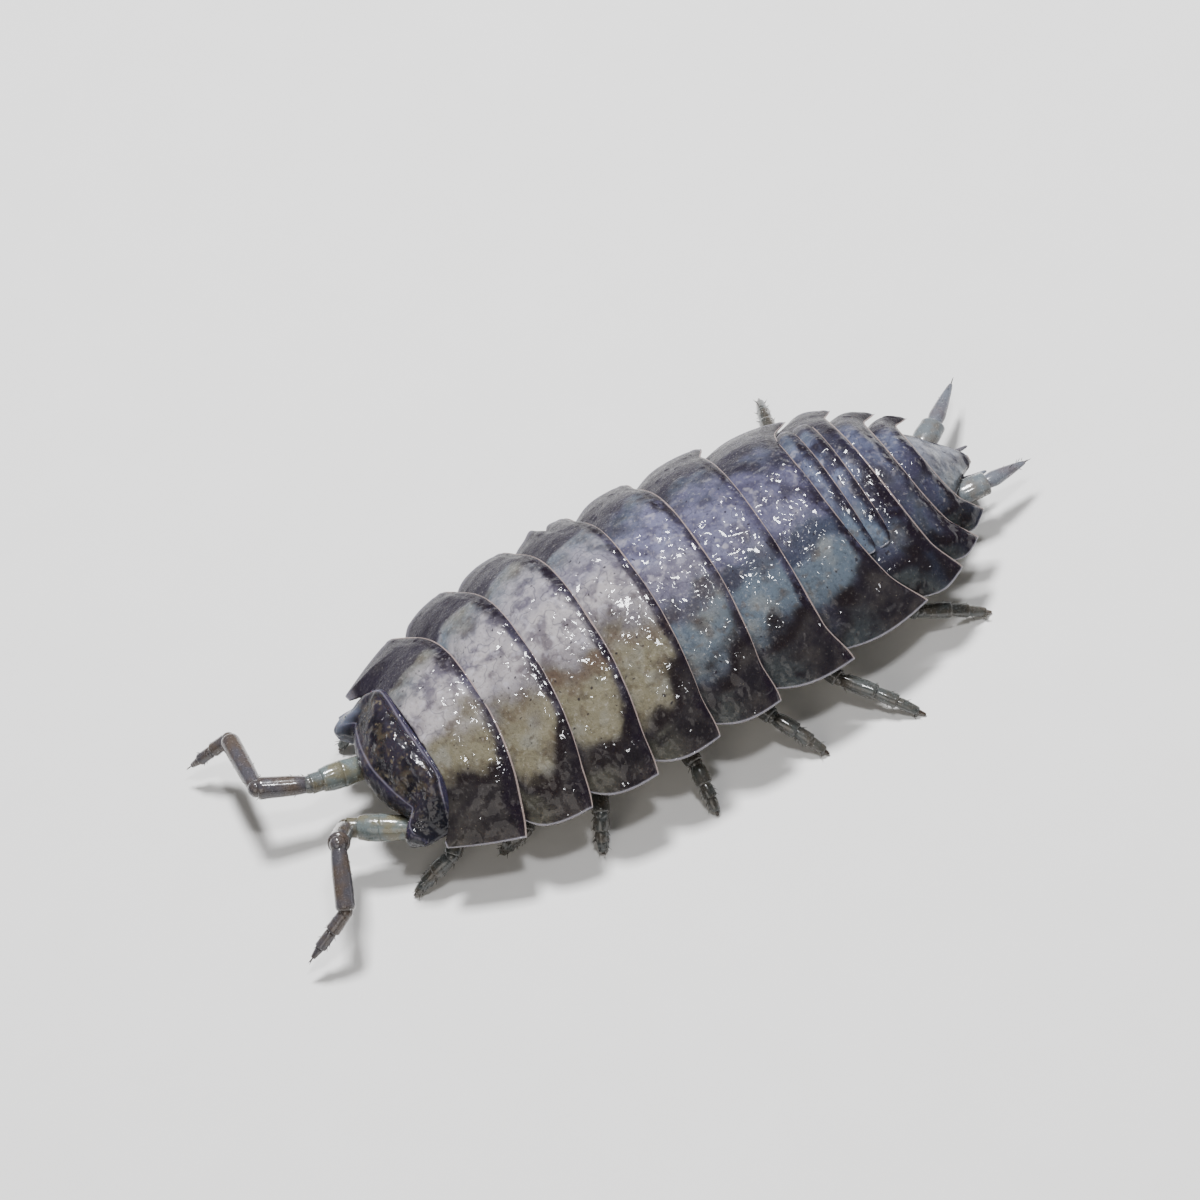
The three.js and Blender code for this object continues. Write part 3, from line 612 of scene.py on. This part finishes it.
# from the first plate to the seventh
PLATE_LOOKS = dict(
    cream=[1.0, 0.9, 0.85, 0.75, 0.3, 0.12, 0.05],
    lower=[-0.08, -0.03, 0.0, 0.0, 0.02, 0.02, 0.02],
    crest=[1.0, 1.0, 0.95, 0.85, 0.8, 0.62, 0.5],
    gap=[0.0, 0.5, 0.85, 0.65, 0.85, 0.9, 1.0],
    far_shade=[0.4, 0.1, 0.3, 0.35, 0.5, 0.65, 0.9],
    far_start=[0.34, 0.4, 0.42, 0.38, 0.4, 0.38, 0.34],
    corner=[0.15, 0.85, 0.85, 0.85, 0.85, 0.85, 0.85],
)
# the fourth
SCARRED_PLATE = 3

for i, back in enumerate(BACK):
    front = BACK[i - 1] if i else SEAT
    shape = plate_surface(front, back, lambda x, f=front: margin_y(f, x), ROWS if i else np.linspace(0, 1, len(ROWS)),
                          corner_in=CORNER_IN if i else NECK_CORNER_IN, scar=scar_lobes if i == SCARRED_PLATE else None)
    dress_plate(f"back_plate_{i + 1}", f"pereonite_{i + 1}", shape, 10 + 7 * i, back_cuticle, "back_plate",
                length=1.6, **{key: values[i] for key, values in PLATE_LOOKS.items()})

# ---- tail plates
# The third tail plate runs forward under the two short ones, and its wings fill in beside them.
TAIL_THICKNESS = 0.08
for i, front in enumerate((BACK[6], TAIL[0])):
    shape = plate_surface(front, TAIL[i], lambda x, f=front: margin_y(f, x), ROWS, step_in=0, corner_in=0,
                          reach=SHORT_REACH)
    dress_plate(f"tail_plate_{i + 1}", f"pleonite_{i + 1}", shape, 80 + 7 * i, tail_cuticle, "tail_plate",
                length=0.5, thickness=TAIL_THICKNESS, reach=SHORT_REACH, crest=1.0, gap=0.2)
shape = plate_surface(dict(BACK[6], half=3.14), TAIL[2], lambda x: margin_y(BACK[6], x), ROWS, sink=0.16)
dress_plate("tail_plate_3", "pleonite_3", shape, 94, tail_cuticle, "tail_plate", length=1.1, flank=0.35,
            thickness=TAIL_THICKNESS)
for i in (3, 4):
    shape = plate_surface(TAIL[i - 1], TAIL[i], lambda x, f=TAIL[i - 1]: margin_y(f, x), ROWS)
    dress_plate(f"tail_plate_{i + 1}", f"pleonite_{i + 1}", shape, 80 + 7 * i, tail_cuticle, "tail_plate",
                length=0.65, flank=0.3, thickness=TAIL_THICKNESS)

# tail tip: a pointed plate with hollow sides
u, v = np.meshgrid(np.linspace(1, -1, 90), np.linspace(-0.1, 1, 60))
half = np.interp(v, [-0.1, 0, 0.22, 0.45, 0.7, 0.9, 1], [1.0, 1.05, 0.9, 0.66, 0.38, 0.2, 0.1])
rise = np.interp(v, [-0.1, 0, 0.22, 0.45, 0.7, 1], [0.7, 0.75, 0.62, 0.44, 0.28, 0.12])
edge = np.interp(v, [0, 0.22, 0.45, 0.7, 1], [1.38, 1.32, 1.22, 1.09, 0.94])
x = half * u
surface = np.stack([x, mix(margin_y(TAIL[4], x), TELSON_TIP_Y, v), edge + rise * (1 - np.abs(u) ** 2.4)], -1)
dress_plate("tail_tip", "telson", (surface, u, v), 120, tip_cuticle, "tail_plate", length=1.0, flank=0.6,
            thickness=0.09, gap=0.0, lower=0.25, far_shade=0.0)

# ---- trunk: soft skin between the plates and the legs, folded along the belly
TRUNK_RINGS, TRUNK_SIDES = 150, 64
FOLD_SPACING = 1.5
stations = [SEAT] + BACK + TAIL[2:]
station_y = [m["y"] for m in stations]
trunk_y = np.linspace(-5.75, 6.95, TRUNK_RINGS)
trunk_half = np.interp(trunk_y, station_y, [m["trunk"] for m in stations]) + 0.12
trunk_top = np.interp(trunk_y, station_y, [m["edge"] + m["rise"] for m in stations]) - 0.75
belly = BELLY_Z - 0.04
angle = np.linspace(0, 2 * math.pi, TRUNK_SIDES, endpoint=False)
sideways = np.sign(np.cos(angle)) * np.abs(np.cos(angle)) ** 0.55
upwards = np.sign(np.sin(angle)) * np.abs(np.sin(angle)) ** 0.8
rings = []
for y, half, top in zip(trunk_y, trunk_half, trunk_top):
    fold = 0.05 * math.cos(2 * math.pi * y / FOLD_SPACING) ** 2
    taper = 1 - 0.6 * smooth(6.4, 6.95, y) - 0.35 * smooth(-5.5, -5.75, y)
    z = (belly + top) / 2 + upwards * (top - belly) / 2 * taper
    z = np.where(np.sin(angle) < 0, z + fold * (1 - np.abs(sideways)), z)
    rings.append(np.stack([half * sideways * taper, np.full(TRUNK_SIDES, y), z], -1))
trunk = np.array(rings)
trunk += 0.012 * grain(trunk, 0.25, 130)[..., None]
points = np.concatenate([trunk.reshape(-1, 3), [trunk[0].mean(0), trunk[-1].mean(0)]])
faces = grid_faces(TRUNK_RINGS, TRUNK_SIDES, wrap=True, flip=True) + end_fans(TRUNK_RINGS, TRUNK_SIDES, flip=True)
piece = mesh_piece("trunk_skin", points, faces, under_skin)
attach(piece, "root")

# ---- head
HEAD_HALF = 2.0
HEAD_MIDDLE_Z = 1.3
HEAD_SLICES, HEAD_ROUND = 150, 200


def head_front(x):
    """y of the brow: a rounded middle and a lobe on each side."""
    a = np.abs(x)
    brow = -6.66 + 0.2 * np.minimum(a, 1.3) ** 2
    return brow - 0.3 * smooth(1.3, 1.62, a) + 0.28 * smooth(1.7, 2.0, a)


# Slices from the right side to the left, each a rounded ring: ETA runs from the face to the neck,
# ZETA from the underside to the crown.
t = np.linspace(-1, 1, HEAD_SLICES)
angle = np.linspace(0, 2 * math.pi, HEAD_ROUND, endpoint=False)
ETA, X = np.meshgrid(0.5 - 0.5 * np.sign(np.cos(angle)) * np.abs(np.cos(angle)) ** 0.6,
                     np.sign(t) * (1 - (1 - np.abs(t)) ** 1.6) * HEAD_HALF)
ZETA = np.broadcast_to(np.sign(np.sin(angle)) * np.abs(np.sin(angle)) ** 0.6, X.shape)
crown = np.interp(ETA, [0, 0.12, 0.35, 0.6, 0.8, 0.9, 1], [1.78, 2.0, 2.34, 2.54, 2.58, 2.62, 2.58])
across = np.abs(X) / HEAD_HALF
low_sides = 1 - across ** (2.3 + 2.2 * smooth(0.35, 0.8, ETA))
top_z = HEAD_MIDDLE_Z + 0.06 + (crown - HEAD_MIDDLE_Z - 0.06) * low_sides
bottom_z = HEAD_MIDDLE_Z - (HEAD_MIDDLE_Z - BELLY_Z + 0.06) * (1 - across ** 5) - 0.04
Z = HEAD_MIDDLE_Z + ZETA * np.where(ZETA > 0, top_z - HEAD_MIDDLE_Z, HEAD_MIDDLE_Z - bottom_z)
Y = mix(head_front(X), margin_y(SEAT, X) + 0.05, ETA)
# the face leans back under the brow
Y = Y + np.where(ETA < 0.5, 0.18 * smooth(1.7, 1.0, Z) * (1 - across ** 2), 0)
# raised rims behind and over the brow, each with a furrow inside it
upper = smooth(0.2, 0.7, ZETA)
rims = 0.1 * hump(0.92, 0.05, ETA) + 0.06 * hump(0.1, 0.05, ETA)
furrows = 0.07 * hump(0.81, 0.035, ETA) + 0.04 * hump(0.22, 0.05, ETA)
Z = Z + upper * low_sides * (rims - furrows)
head = np.stack([X, Y, Z], -1)
# grain, but not on the rims and the sides
on_rims = upper * (hump(0.92, 0.1, ETA) + hump(0.1, 0.06, ETA))
grained = smooth(0.92, 0.8, across) * (1 - 0.8 * on_rims)
bumps = grained * (0.03 * grain(head, 0.32, 140) + 0.016 * grain(head, 0.12, 141))
head = head - grid_normals(head) * bumps[..., None]
right = -X / HEAD_HALF
masks = {
    "lip": upper * (hump(0.95, 0.08, ETA) + 0.5 * hump(0.1, 0.04, ETA)),
    # painted highlights: thin lines along the rear rim and behind the brow rim
    "rim_highlight": upper * np.maximum(hump(0.85, 0.012, ETA), 0.8 * hump(0.16, 0.012, ETA)) * smooth(0.95, 0.8, across),
    "clear": smooth(0.66, 0.78, right) * smooth(0.6, 0.4, ETA),
    "plain": smooth(0.76, 0.86, across),
    "dry": smooth(-0.1, 0.5, right + 0.8 * smooth(0.4, 0.12, ETA)),
}
points = np.concatenate([head.reshape(-1, 3), [head[0].mean(0), head[-1].mean(0)]])
faces = grid_faces(HEAD_SLICES, HEAD_ROUND, wrap=True) + end_fans(HEAD_SLICES, HEAD_ROUND)
tones = {key: np.append(mask.ravel(), [mask[0].mean(), mask[-1].mean()]) for key, mask in masks.items()}
piece = mesh_piece("head_capsule", points, faces, head_cuticle, tones)
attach(piece, "root")
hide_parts("head")

# Eyes: a patch of small beads on each side of the head, a little coarser than real ones to show.
BEAD_RADIUS = 0.042
BEAD_SPACING = 0.085
PATCH_RADIUS = 0.22
PATCH_BULGE = 0.6
BEAD_ROWS, BEAD_COLUMNS = 8, 12
around, down = np.meshgrid(np.linspace(0, 2 * math.pi, BEAD_COLUMNS, endpoint=False),
                           np.linspace(0.05, math.pi - 0.05, BEAD_ROWS))
bead = np.stack([np.sin(down) * np.cos(around), np.sin(down) * np.sin(around), np.cos(down)], -1).reshape(-1, 3)
bead_faces = grid_faces(BEAD_ROWS, BEAD_COLUMNS, wrap=True, flip=True)
for side_name, sign in (("left", 1), ("right", -1)):
    centre = np.array([EYE_AT[0] * sign, EYE_AT[1] + 0.1, EYE_AT[2] + 0.12])
    outward = np.array([0.75 * sign, -0.1, 0.65])
    outward /= np.linalg.norm(outward)
    along_row = np.cross(outward, [0, 1, 0])
    along_row /= np.linalg.norm(along_row)
    over_rows = np.cross(outward, along_row)
    parts = []
    for row in range(-2, 3):
        for column in range(-2, 3):
            a, b = (column + 0.5 * (row % 2)) * BEAD_SPACING, row * 0.87 * BEAD_SPACING
            if np.hypot(a, b) <= PATCH_RADIUS:
                bead_at = centre + along_row * a + over_rows * b - outward * PATCH_BULGE * (a * a + b * b)
                parts.append((bead_at + BEAD_RADIUS * bead, bead_faces, {}))
    points, faces, _ = joined(parts)
    piece = mesh_piece(f"eye_beads_{side_name}", points, faces, eye_bead)
    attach(piece, "root")
    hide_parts(f"eye_{side_name}")

# ---- limbs
ARTICLE_SIDES = 22
KNUCKLE_ROUNDS, KNUCKLE_SIDES = 10, 18
BRISTLE_RADIUS = 0.011
TUFT_RADIUS = 0.014
# the skins end this far above the floor, so that no claw dips into it
ABOVE_FLOOR = 0.002


def article(start, end, radii, claw=0.0, flat=1.0, milky=0.0):
    """One limb article: a tapering tube with a narrow rounded root and a slightly flared far end."""
    start, end = np.asarray(start, float), np.asarray(end, float)
    s = np.concatenate([[0, 0.015, 0.04, 0.08], np.linspace(0.13, 0.87, 14), [0.92, 0.96, 0.985, 1.0]])
    outline = np.interp(s, [0, 0.015, 0.04, 0.08, 0.2, 0.85, 0.93, 0.97, 1.0],
                        [0.5, 0.74, 0.86, 0.93, 0.98, 1.0, 1.02, 0.93, 0.55])
    radius = np.interp(s, np.linspace(0, 1, len(radii)), radii)
    points, faces = tube(start + (end - start) * s[:, None], radius * outline, ARTICLE_SIDES, squash=flat)
    points = points + 0.003 * grain(points, 0.1, 150)[:, None]
    joint = np.repeat(np.maximum(hump(0, 0.05, s), hump(1, 0.05, s)), ARTICLE_SIDES)
    return points, faces, dict(joint=np.append(joint, [0.5, 0.5]), claw=claw, milky=milky)


def knuckle(at, radius, milky=0.0):
    """The soft ball that fills a bend between two articles."""
    lean = np.linspace(0.08, math.pi - 0.08, KNUCKLE_ROUNDS)
    middles = np.asarray(at, float) + np.outer(-np.cos(lean) * radius, [0, 0, 1.0])
    angles = np.linspace(0, 2 * math.pi, KNUCKLE_SIDES, endpoint=False)
    ring = radius * np.stack([np.cos(angles), np.sin(angles), 0 * angles], -1)
    rings = [middle + math.sin(q) * ring for middle, q in zip(middles, lean)]
    points = np.concatenate(rings + [[middles[0], middles[-1]]])
    faces = grid_faces(KNUCKLE_ROUNDS, KNUCKLE_SIDES, wrap=True) + end_fans(KNUCKLE_ROUNDS, KNUCKLE_SIDES)
    return points, faces, dict(joint=0.3, claw=0.0, milky=milky)


def bristle(root, tip, thick=BRISTLE_RADIUS):
    points, faces = tube(np.linspace(root, tip, 4), thick * np.array([1, 0.8, 0.5, 0.12]), 5)
    return points, faces, dict(joint=0.0, claw=0.35, milky=0.0)


def bristles_on(start, end, radius, count, rng, reach):
    """Short bristles slanting outwards along one article."""
    start, end = np.asarray(start, float), np.asarray(end, float)
    along = (end - start) / np.linalg.norm(end - start)
    side = np.cross(along, [0, 0, 1.0])
    side /= np.linalg.norm(side)
    up = np.cross(side, along)
    made = []
    for _ in range(count):
        s, angle = rng.uniform(0.1, 0.98), rng.uniform(0, 2 * math.pi)
        out = math.cos(angle) * side + math.sin(angle) * up
        root = start + (end - start) * s + out * radius * 0.9
        made.append(bristle(root, root + out * reach * 0.6 + along * reach * 0.7))
    return made


def limb_skin(name, parts, material, stands_for):
    """One limb's skin from its parts, in the place of its solids."""
    points, faces, tones = joined(parts)
    points[:, 2] = np.maximum(points[:, 2], ABOVE_FLOOR)
    piece = mesh_piece(name, points, faces, material, tones)
    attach(piece, "root")
    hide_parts(*stands_for)


# from the brow: root, two bends, root of the lash, tip
FEELERS = {
    "left": [(1.12, -6.5, 1.08), (0.5, -7.48, 1.2), (1.37, -7.89, 2.0), (2.42, -8.44, 1.25), (2.47, -9.46, 0.5)],
    "right": [(-0.78, -6.5, 1.05), (-0.87, -7.62, 1.3), (-1.31, -8.62, 1.5), (-3.04, -8.5, 1.2), (-3.44, -9.39, 0.5)],
}
for side_name, chain in FEELERS.items():
    rng = random.Random(side_name)
    c = [np.array(p) for p in chain]
    # bulging base in three short articles, which starts inside the head
    parts = [article(c[0] + (c[0] - c[1]) * 0.35, mix(c[0], c[1], 0.42), [0.22, 0.27, 0.3], milky=0.9),
             article(mix(c[0], c[1], 0.2), mix(c[0], c[1], 0.8), [0.26, 0.3, 0.29, 0.24], milky=0.8),
             article(mix(c[0], c[1], 0.66), c[1], [0.23, 0.22, 0.22], milky=0.55),
             knuckle(c[1], 0.2, 0.4), article(c[1], c[2], [0.19, 0.22, 0.23, 0.24]),
             knuckle(c[2], 0.19), article(c[2], c[3], [0.17, 0.2, 0.21, 0.21]), knuckle(c[3], 0.15)]
    # lash of three articles and a tuft
    lash = [mix(c[3], c[4], s) for s in (0, 0.42, 0.78, 1.0)]
    parts += [article(lash[0], lash[1], [0.15, 0.16]), article(lash[1], lash[2], [0.13, 0.13]),
              article(lash[2], lash[3], [0.1, 0.05])]
    for _ in range(4):
        spread = np.array([rng.uniform(-1, 1), rng.uniform(-1, 1), rng.uniform(-1, 1)]) * 0.03
        parts.append(bristle(lash[3], lash[3] + (lash[3] - lash[2]) * 0.6 + spread, TUFT_RADIUS))
    for start, end, radius in ((c[1], c[2], 0.22), (c[2], c[3], 0.2), (lash[0], lash[2], 0.14)):
        parts += bristles_on(start, end, radius, 26, rng, 0.09)
    limb_skin(f"feeler_skin_{side_name}", parts, feeler_cuticle,
              [f"feeler_{side_name}_{part}" for part in ("base", "fourth", "fifth", "lash")])

KNEE_Z = 0.72
# from the first leg to the seventh: y of the root, knee and foot seen from above
LEGS = {
    "left": [(-4.95, (2.13, -5.9), (2.03, -6.94)), (-3.65, (2.5, -4.35), (2.2, -4.95)),
             (-2.2, (3.1, -2.85), (3.5, -3.18)), (-0.75, (3.16, -0.62), (4.1, -0.74)),
             (0.8, (3.1, 1.27), (4.15, 1.91)), (2.35, (3.1, 2.88), (4.5, 4.05)), (4.05, (2.62, 5.1), (3.06, 6.48))],
    "right": [(-4.95, (2.2, -5.75), (2.25, -6.55)), (-3.65, (2.75, -4.3), (3.1, -4.75)),
              (-2.2, (3.0, -2.6), (3.75, -2.7)), (-0.75, (3.1, -0.75), (3.95, -0.95)),
              (0.8, (3.1, 1.1), (4.0, 1.4)), (2.35, (3.05, 2.8), (4.1, 3.45)), (4.05, (3.1, 4.75), (4.9, 5.22))],
}
for side_name, legs in LEGS.items():
    sign = 1 if side_name == "left" else -1
    for i, (root_y, knee_at, foot_at) in enumerate(legs):
        rng = random.Random(f"{side_name}{i}")
        before = BACK[i - 1] if i else SEAT
        root = np.array([sign * (mix(BACK[i]["trunk"], before["trunk"], 0.4) - 0.1), root_y, 1.15])
        knee = np.array([sign * knee_at[0], knee_at[1], KNEE_Z])
        foot = np.array([sign * foot_at[0], foot_at[1], 0.0])
        # the part below the knee is slightly arched
        cuts = [knee + (foot - knee) * s + np.array([0, 0, lift]) for s, lift in
                ((0, 0), (0.2, 0.06), (0.42, 0.07), (0.66, 0.05), (0.9, 0.02), (1.0, 0.0))]
        bend = mix(root, knee, 0.62) + np.array([0, 0, 0.03])
        claw_tip = cuts[5] + np.array([0, 0, 0.02])
        parts = [article(root, bend, [0.2, 0.24, 0.2]), knuckle(bend, 0.18),
                 article(bend, cuts[0], [0.17, 0.2, 0.19]), knuckle(cuts[0], 0.15),
                 article(cuts[0], mix(cuts[2], cuts[3], 0.12), [0.13, 0.17, 0.18, 0.17]),
                 article(mix(cuts[2], cuts[1], 0.1), mix(cuts[3], cuts[4], 0.1), [0.12, 0.15, 0.15]),
                 article(mix(cuts[3], cuts[2], 0.12), mix(cuts[4], cuts[5], 0.2), [0.1, 0.12, 0.11, 0.09]),
                 article(mix(cuts[4], cuts[3], 0.12), claw_tip, [0.06, 0.045, 0.025], claw=0.7)]
        for start, end, radius in ((cuts[0], cuts[2], 0.17), (cuts[2], cuts[3], 0.15), (cuts[3], cuts[4], 0.12)):
            parts += bristles_on(start, end, radius, 9, rng, 0.12)
        limb_skin(f"leg_skin_{side_name}_{i + 1}", parts, leg_cuticle, [f"leg_{side_name}_{i + 1}"])

# root, joint and tip of the outer branch, and tip of the inner branch
TAIL_LIMBS = {
    "left": [(0.72, 7.15, 1.02), (0.78, 7.88, 0.98), (0.67, 8.83, 0.8), (0.36, 8.05, 0.78)],
    "right": [(-0.82, 7.1, 1.02), (-1.26, 7.74, 0.98), (-2.1, 8.6, 0.8), (-0.46, 8.05, 0.78)],
}
for side_name, ends in TAIL_LIMBS.items():
    rng = random.Random(side_name + "tail")
    root, joint, tip, inner = map(np.array, ends)
    parts = [article(root, joint, [0.26, 0.3, 0.27], flat=0.75, milky=0.4),
             article(mix(joint, root, 0.1), tip, [0.17, 0.19, 0.15, 0.1, 0.04], flat=0.8),
             article(root * np.array([0.5, 1, 0.9]), inner, [0.13, 0.11, 0.06, 0.03])]
    parts += bristles_on(joint, tip, 0.1, 24, rng, 0.1)
    for _ in range(5):
        spread = np.array([rng.uniform(-1, 1)] * 3) * 0.02
        parts.append(bristle(tip, tip + (tip - joint) * 0.16 + spread, TUFT_RADIUS))
    limb_skin(f"tail_limb_{side_name}", parts, tail_limb_cuticle,
              [f"uropod_{side_name}_root", f"uropod_{side_name}_outer"])

# ---- underside: mouthparts and gill plates
parts = [article((sign * (0.16 + 0.22 * k), -5.6, 0.7), (sign * (0.1 + 0.16 * k), -6.42 + 0.08 * k, 0.62),
                 [0.16, 0.15, 0.08], flat=0.6) for sign in (1, -1) for k in range(3)]
points, faces, _ = joined(parts)
piece = mesh_piece("mouth_palps", points, faces, under_skin)
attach(piece, "root")
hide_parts("mouthparts")

# five pairs of thin, crowned leaves, each pair over the front of the next
GILL_THICKNESS = 0.05
q, s = np.meshgrid(np.linspace(1, -1, 24), np.linspace(0, 1, 24))
parts = []
for k in range(5):
    width = (0.5 - 0.06 * k) * np.sin(math.pi * (0.16 + 0.8 * s)) ** 0.6
    for sign in (1, -1):
        leaf = np.stack([sign * (0.53 - 0.05 * k) + width * q, 5.15 + 0.36 * k + 0.62 * s,
                         0.72 - 0.05 * (1 - q ** 2) - 0.05 * s], -1)
        points, faces, _ = shell(leaf, np.full(s.shape, -GILL_THICKNESS), {})
        parts.append((points, faces, {}))
points, faces, _ = joined(parts)
piece = mesh_piece("gill_plates", points, faces, gill_skin)
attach(piece, "root")
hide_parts("pleopods")

# ---- studio: pale floor, soft light, camera at the photo's angle
FLOOR_REACH = 0.6
FLOOR_BELOW_FEET = 0.00002

# Matt paint of the studio floor: the eye sees a breath of uneven grey and no gloss.
floor_paint, tree, surface, at, _ = finish("pale studio floor", Roughness=0.85)
tree.links.new(lay(tree, "#cfcecb", "#d4d3d1", blotches(tree, at, 1.5, 61)), surface.inputs["Base Color"])
floor_data = bpy.data.meshes.new("studio_floor")
floor_data.from_pydata([(x * FLOOR_REACH, y * FLOOR_REACH, 0) for x, y in ((-1, -1), (1, -1), (1, 1), (-1, 1))],
                       [], [(0, 1, 2, 3)])
floor_data.materials.append(floor_paint)
floor = bpy.data.objects.new("studio_floor", floor_data)
floor.location.z = -FLOOR_BELOW_FEET
bpy.context.collection.objects.link(floor)

# The photo's camera, fitted to the plates: angles in degrees, distance in millimetres, scale in
# photo pixels per millimetre at the animal, how many pixels right and down of the picture's
# middle the aim point lies, and how high it is over the zero of the animal's own axes.
PHOTO_WIDTH = 1200
SENSOR_WIDTH = 36
VIEW = dict(azimuth=77.286, elevation=52.0, roll=-19.486, distance=162.25, scale=47.657, right=53.31,
            down=58.94, aim_z=0.342)


def camera_at_photo():
    az, el, roll = (math.radians(VIEW[k]) for k in ("azimuth", "elevation", "roll"))
    back = Vector((math.sin(az) * math.cos(el), -math.cos(az) * math.cos(el), math.sin(el)))
    level = Vector((math.cos(az), math.sin(az), 0))
    up = back.cross(level)
    across = level * math.cos(roll) + up * math.sin(roll)
    upwards = -level * math.sin(roll) + up * math.cos(roll)
    stand = (Vector(SHIFT) + Vector((0, 0, VIEW["aim_z"])) + back * VIEW["distance"]
             - across * VIEW["right"] / VIEW["scale"] + upwards * VIEW["down"] / VIEW["scale"]) * MM
    data = bpy.data.cameras.new("photo_camera")
    data.sensor_width = SENSOR_WIDTH
    data.lens = VIEW["scale"] * VIEW["distance"] / PHOTO_WIDTH * SENSOR_WIDTH
    data.clip_start = 0.01
    data.clip_end = 5
    camera = bpy.data.objects.new("photo_camera", data)
    camera.matrix_world = Matrix([(across[k], upwards[k], back[k], stand[k]) for k in range(3)] + [(0, 0, 0, 1)])
    bpy.context.collection.objects.link(camera)
    return camera


bpy.context.scene.camera = camera_at_photo()


def soft_box(name, offset, size, power, colour):
    """A square soft light aimed at the animal; offset and size in millimetres, power in watts."""
    data = bpy.data.lights.new(name, "AREA")
    data.size = size * MM
    data.energy = power
    data.color = linear(colour)[:3]
    light = bpy.data.objects.new(name, data)
    light.location = Vector(offset) * MM
    light.rotation_euler = (-light.location).to_track_quat("-Z", "Y").to_euler()
    bpy.context.collection.objects.link(light)


soft_box("key_box", (-38, 18, 106), 22, 0.34, "#fbfcff")
soft_box("flank_key_box", (24, 13, 102), 12, 0.06, "#fbfcff")
soft_box("side_fill", (80, -70, 60), 80, 0.055, "#fff8ef")

world = bpy.data.worlds.new("studio air")
world.use_nodes = True
background = next(n for n in world.node_tree.nodes if n.type == "BACKGROUND")
background.inputs["Color"].default_value = linear("#c9ccd2")
background.inputs["Strength"].default_value = 0.2
bpy.context.scene.world = world
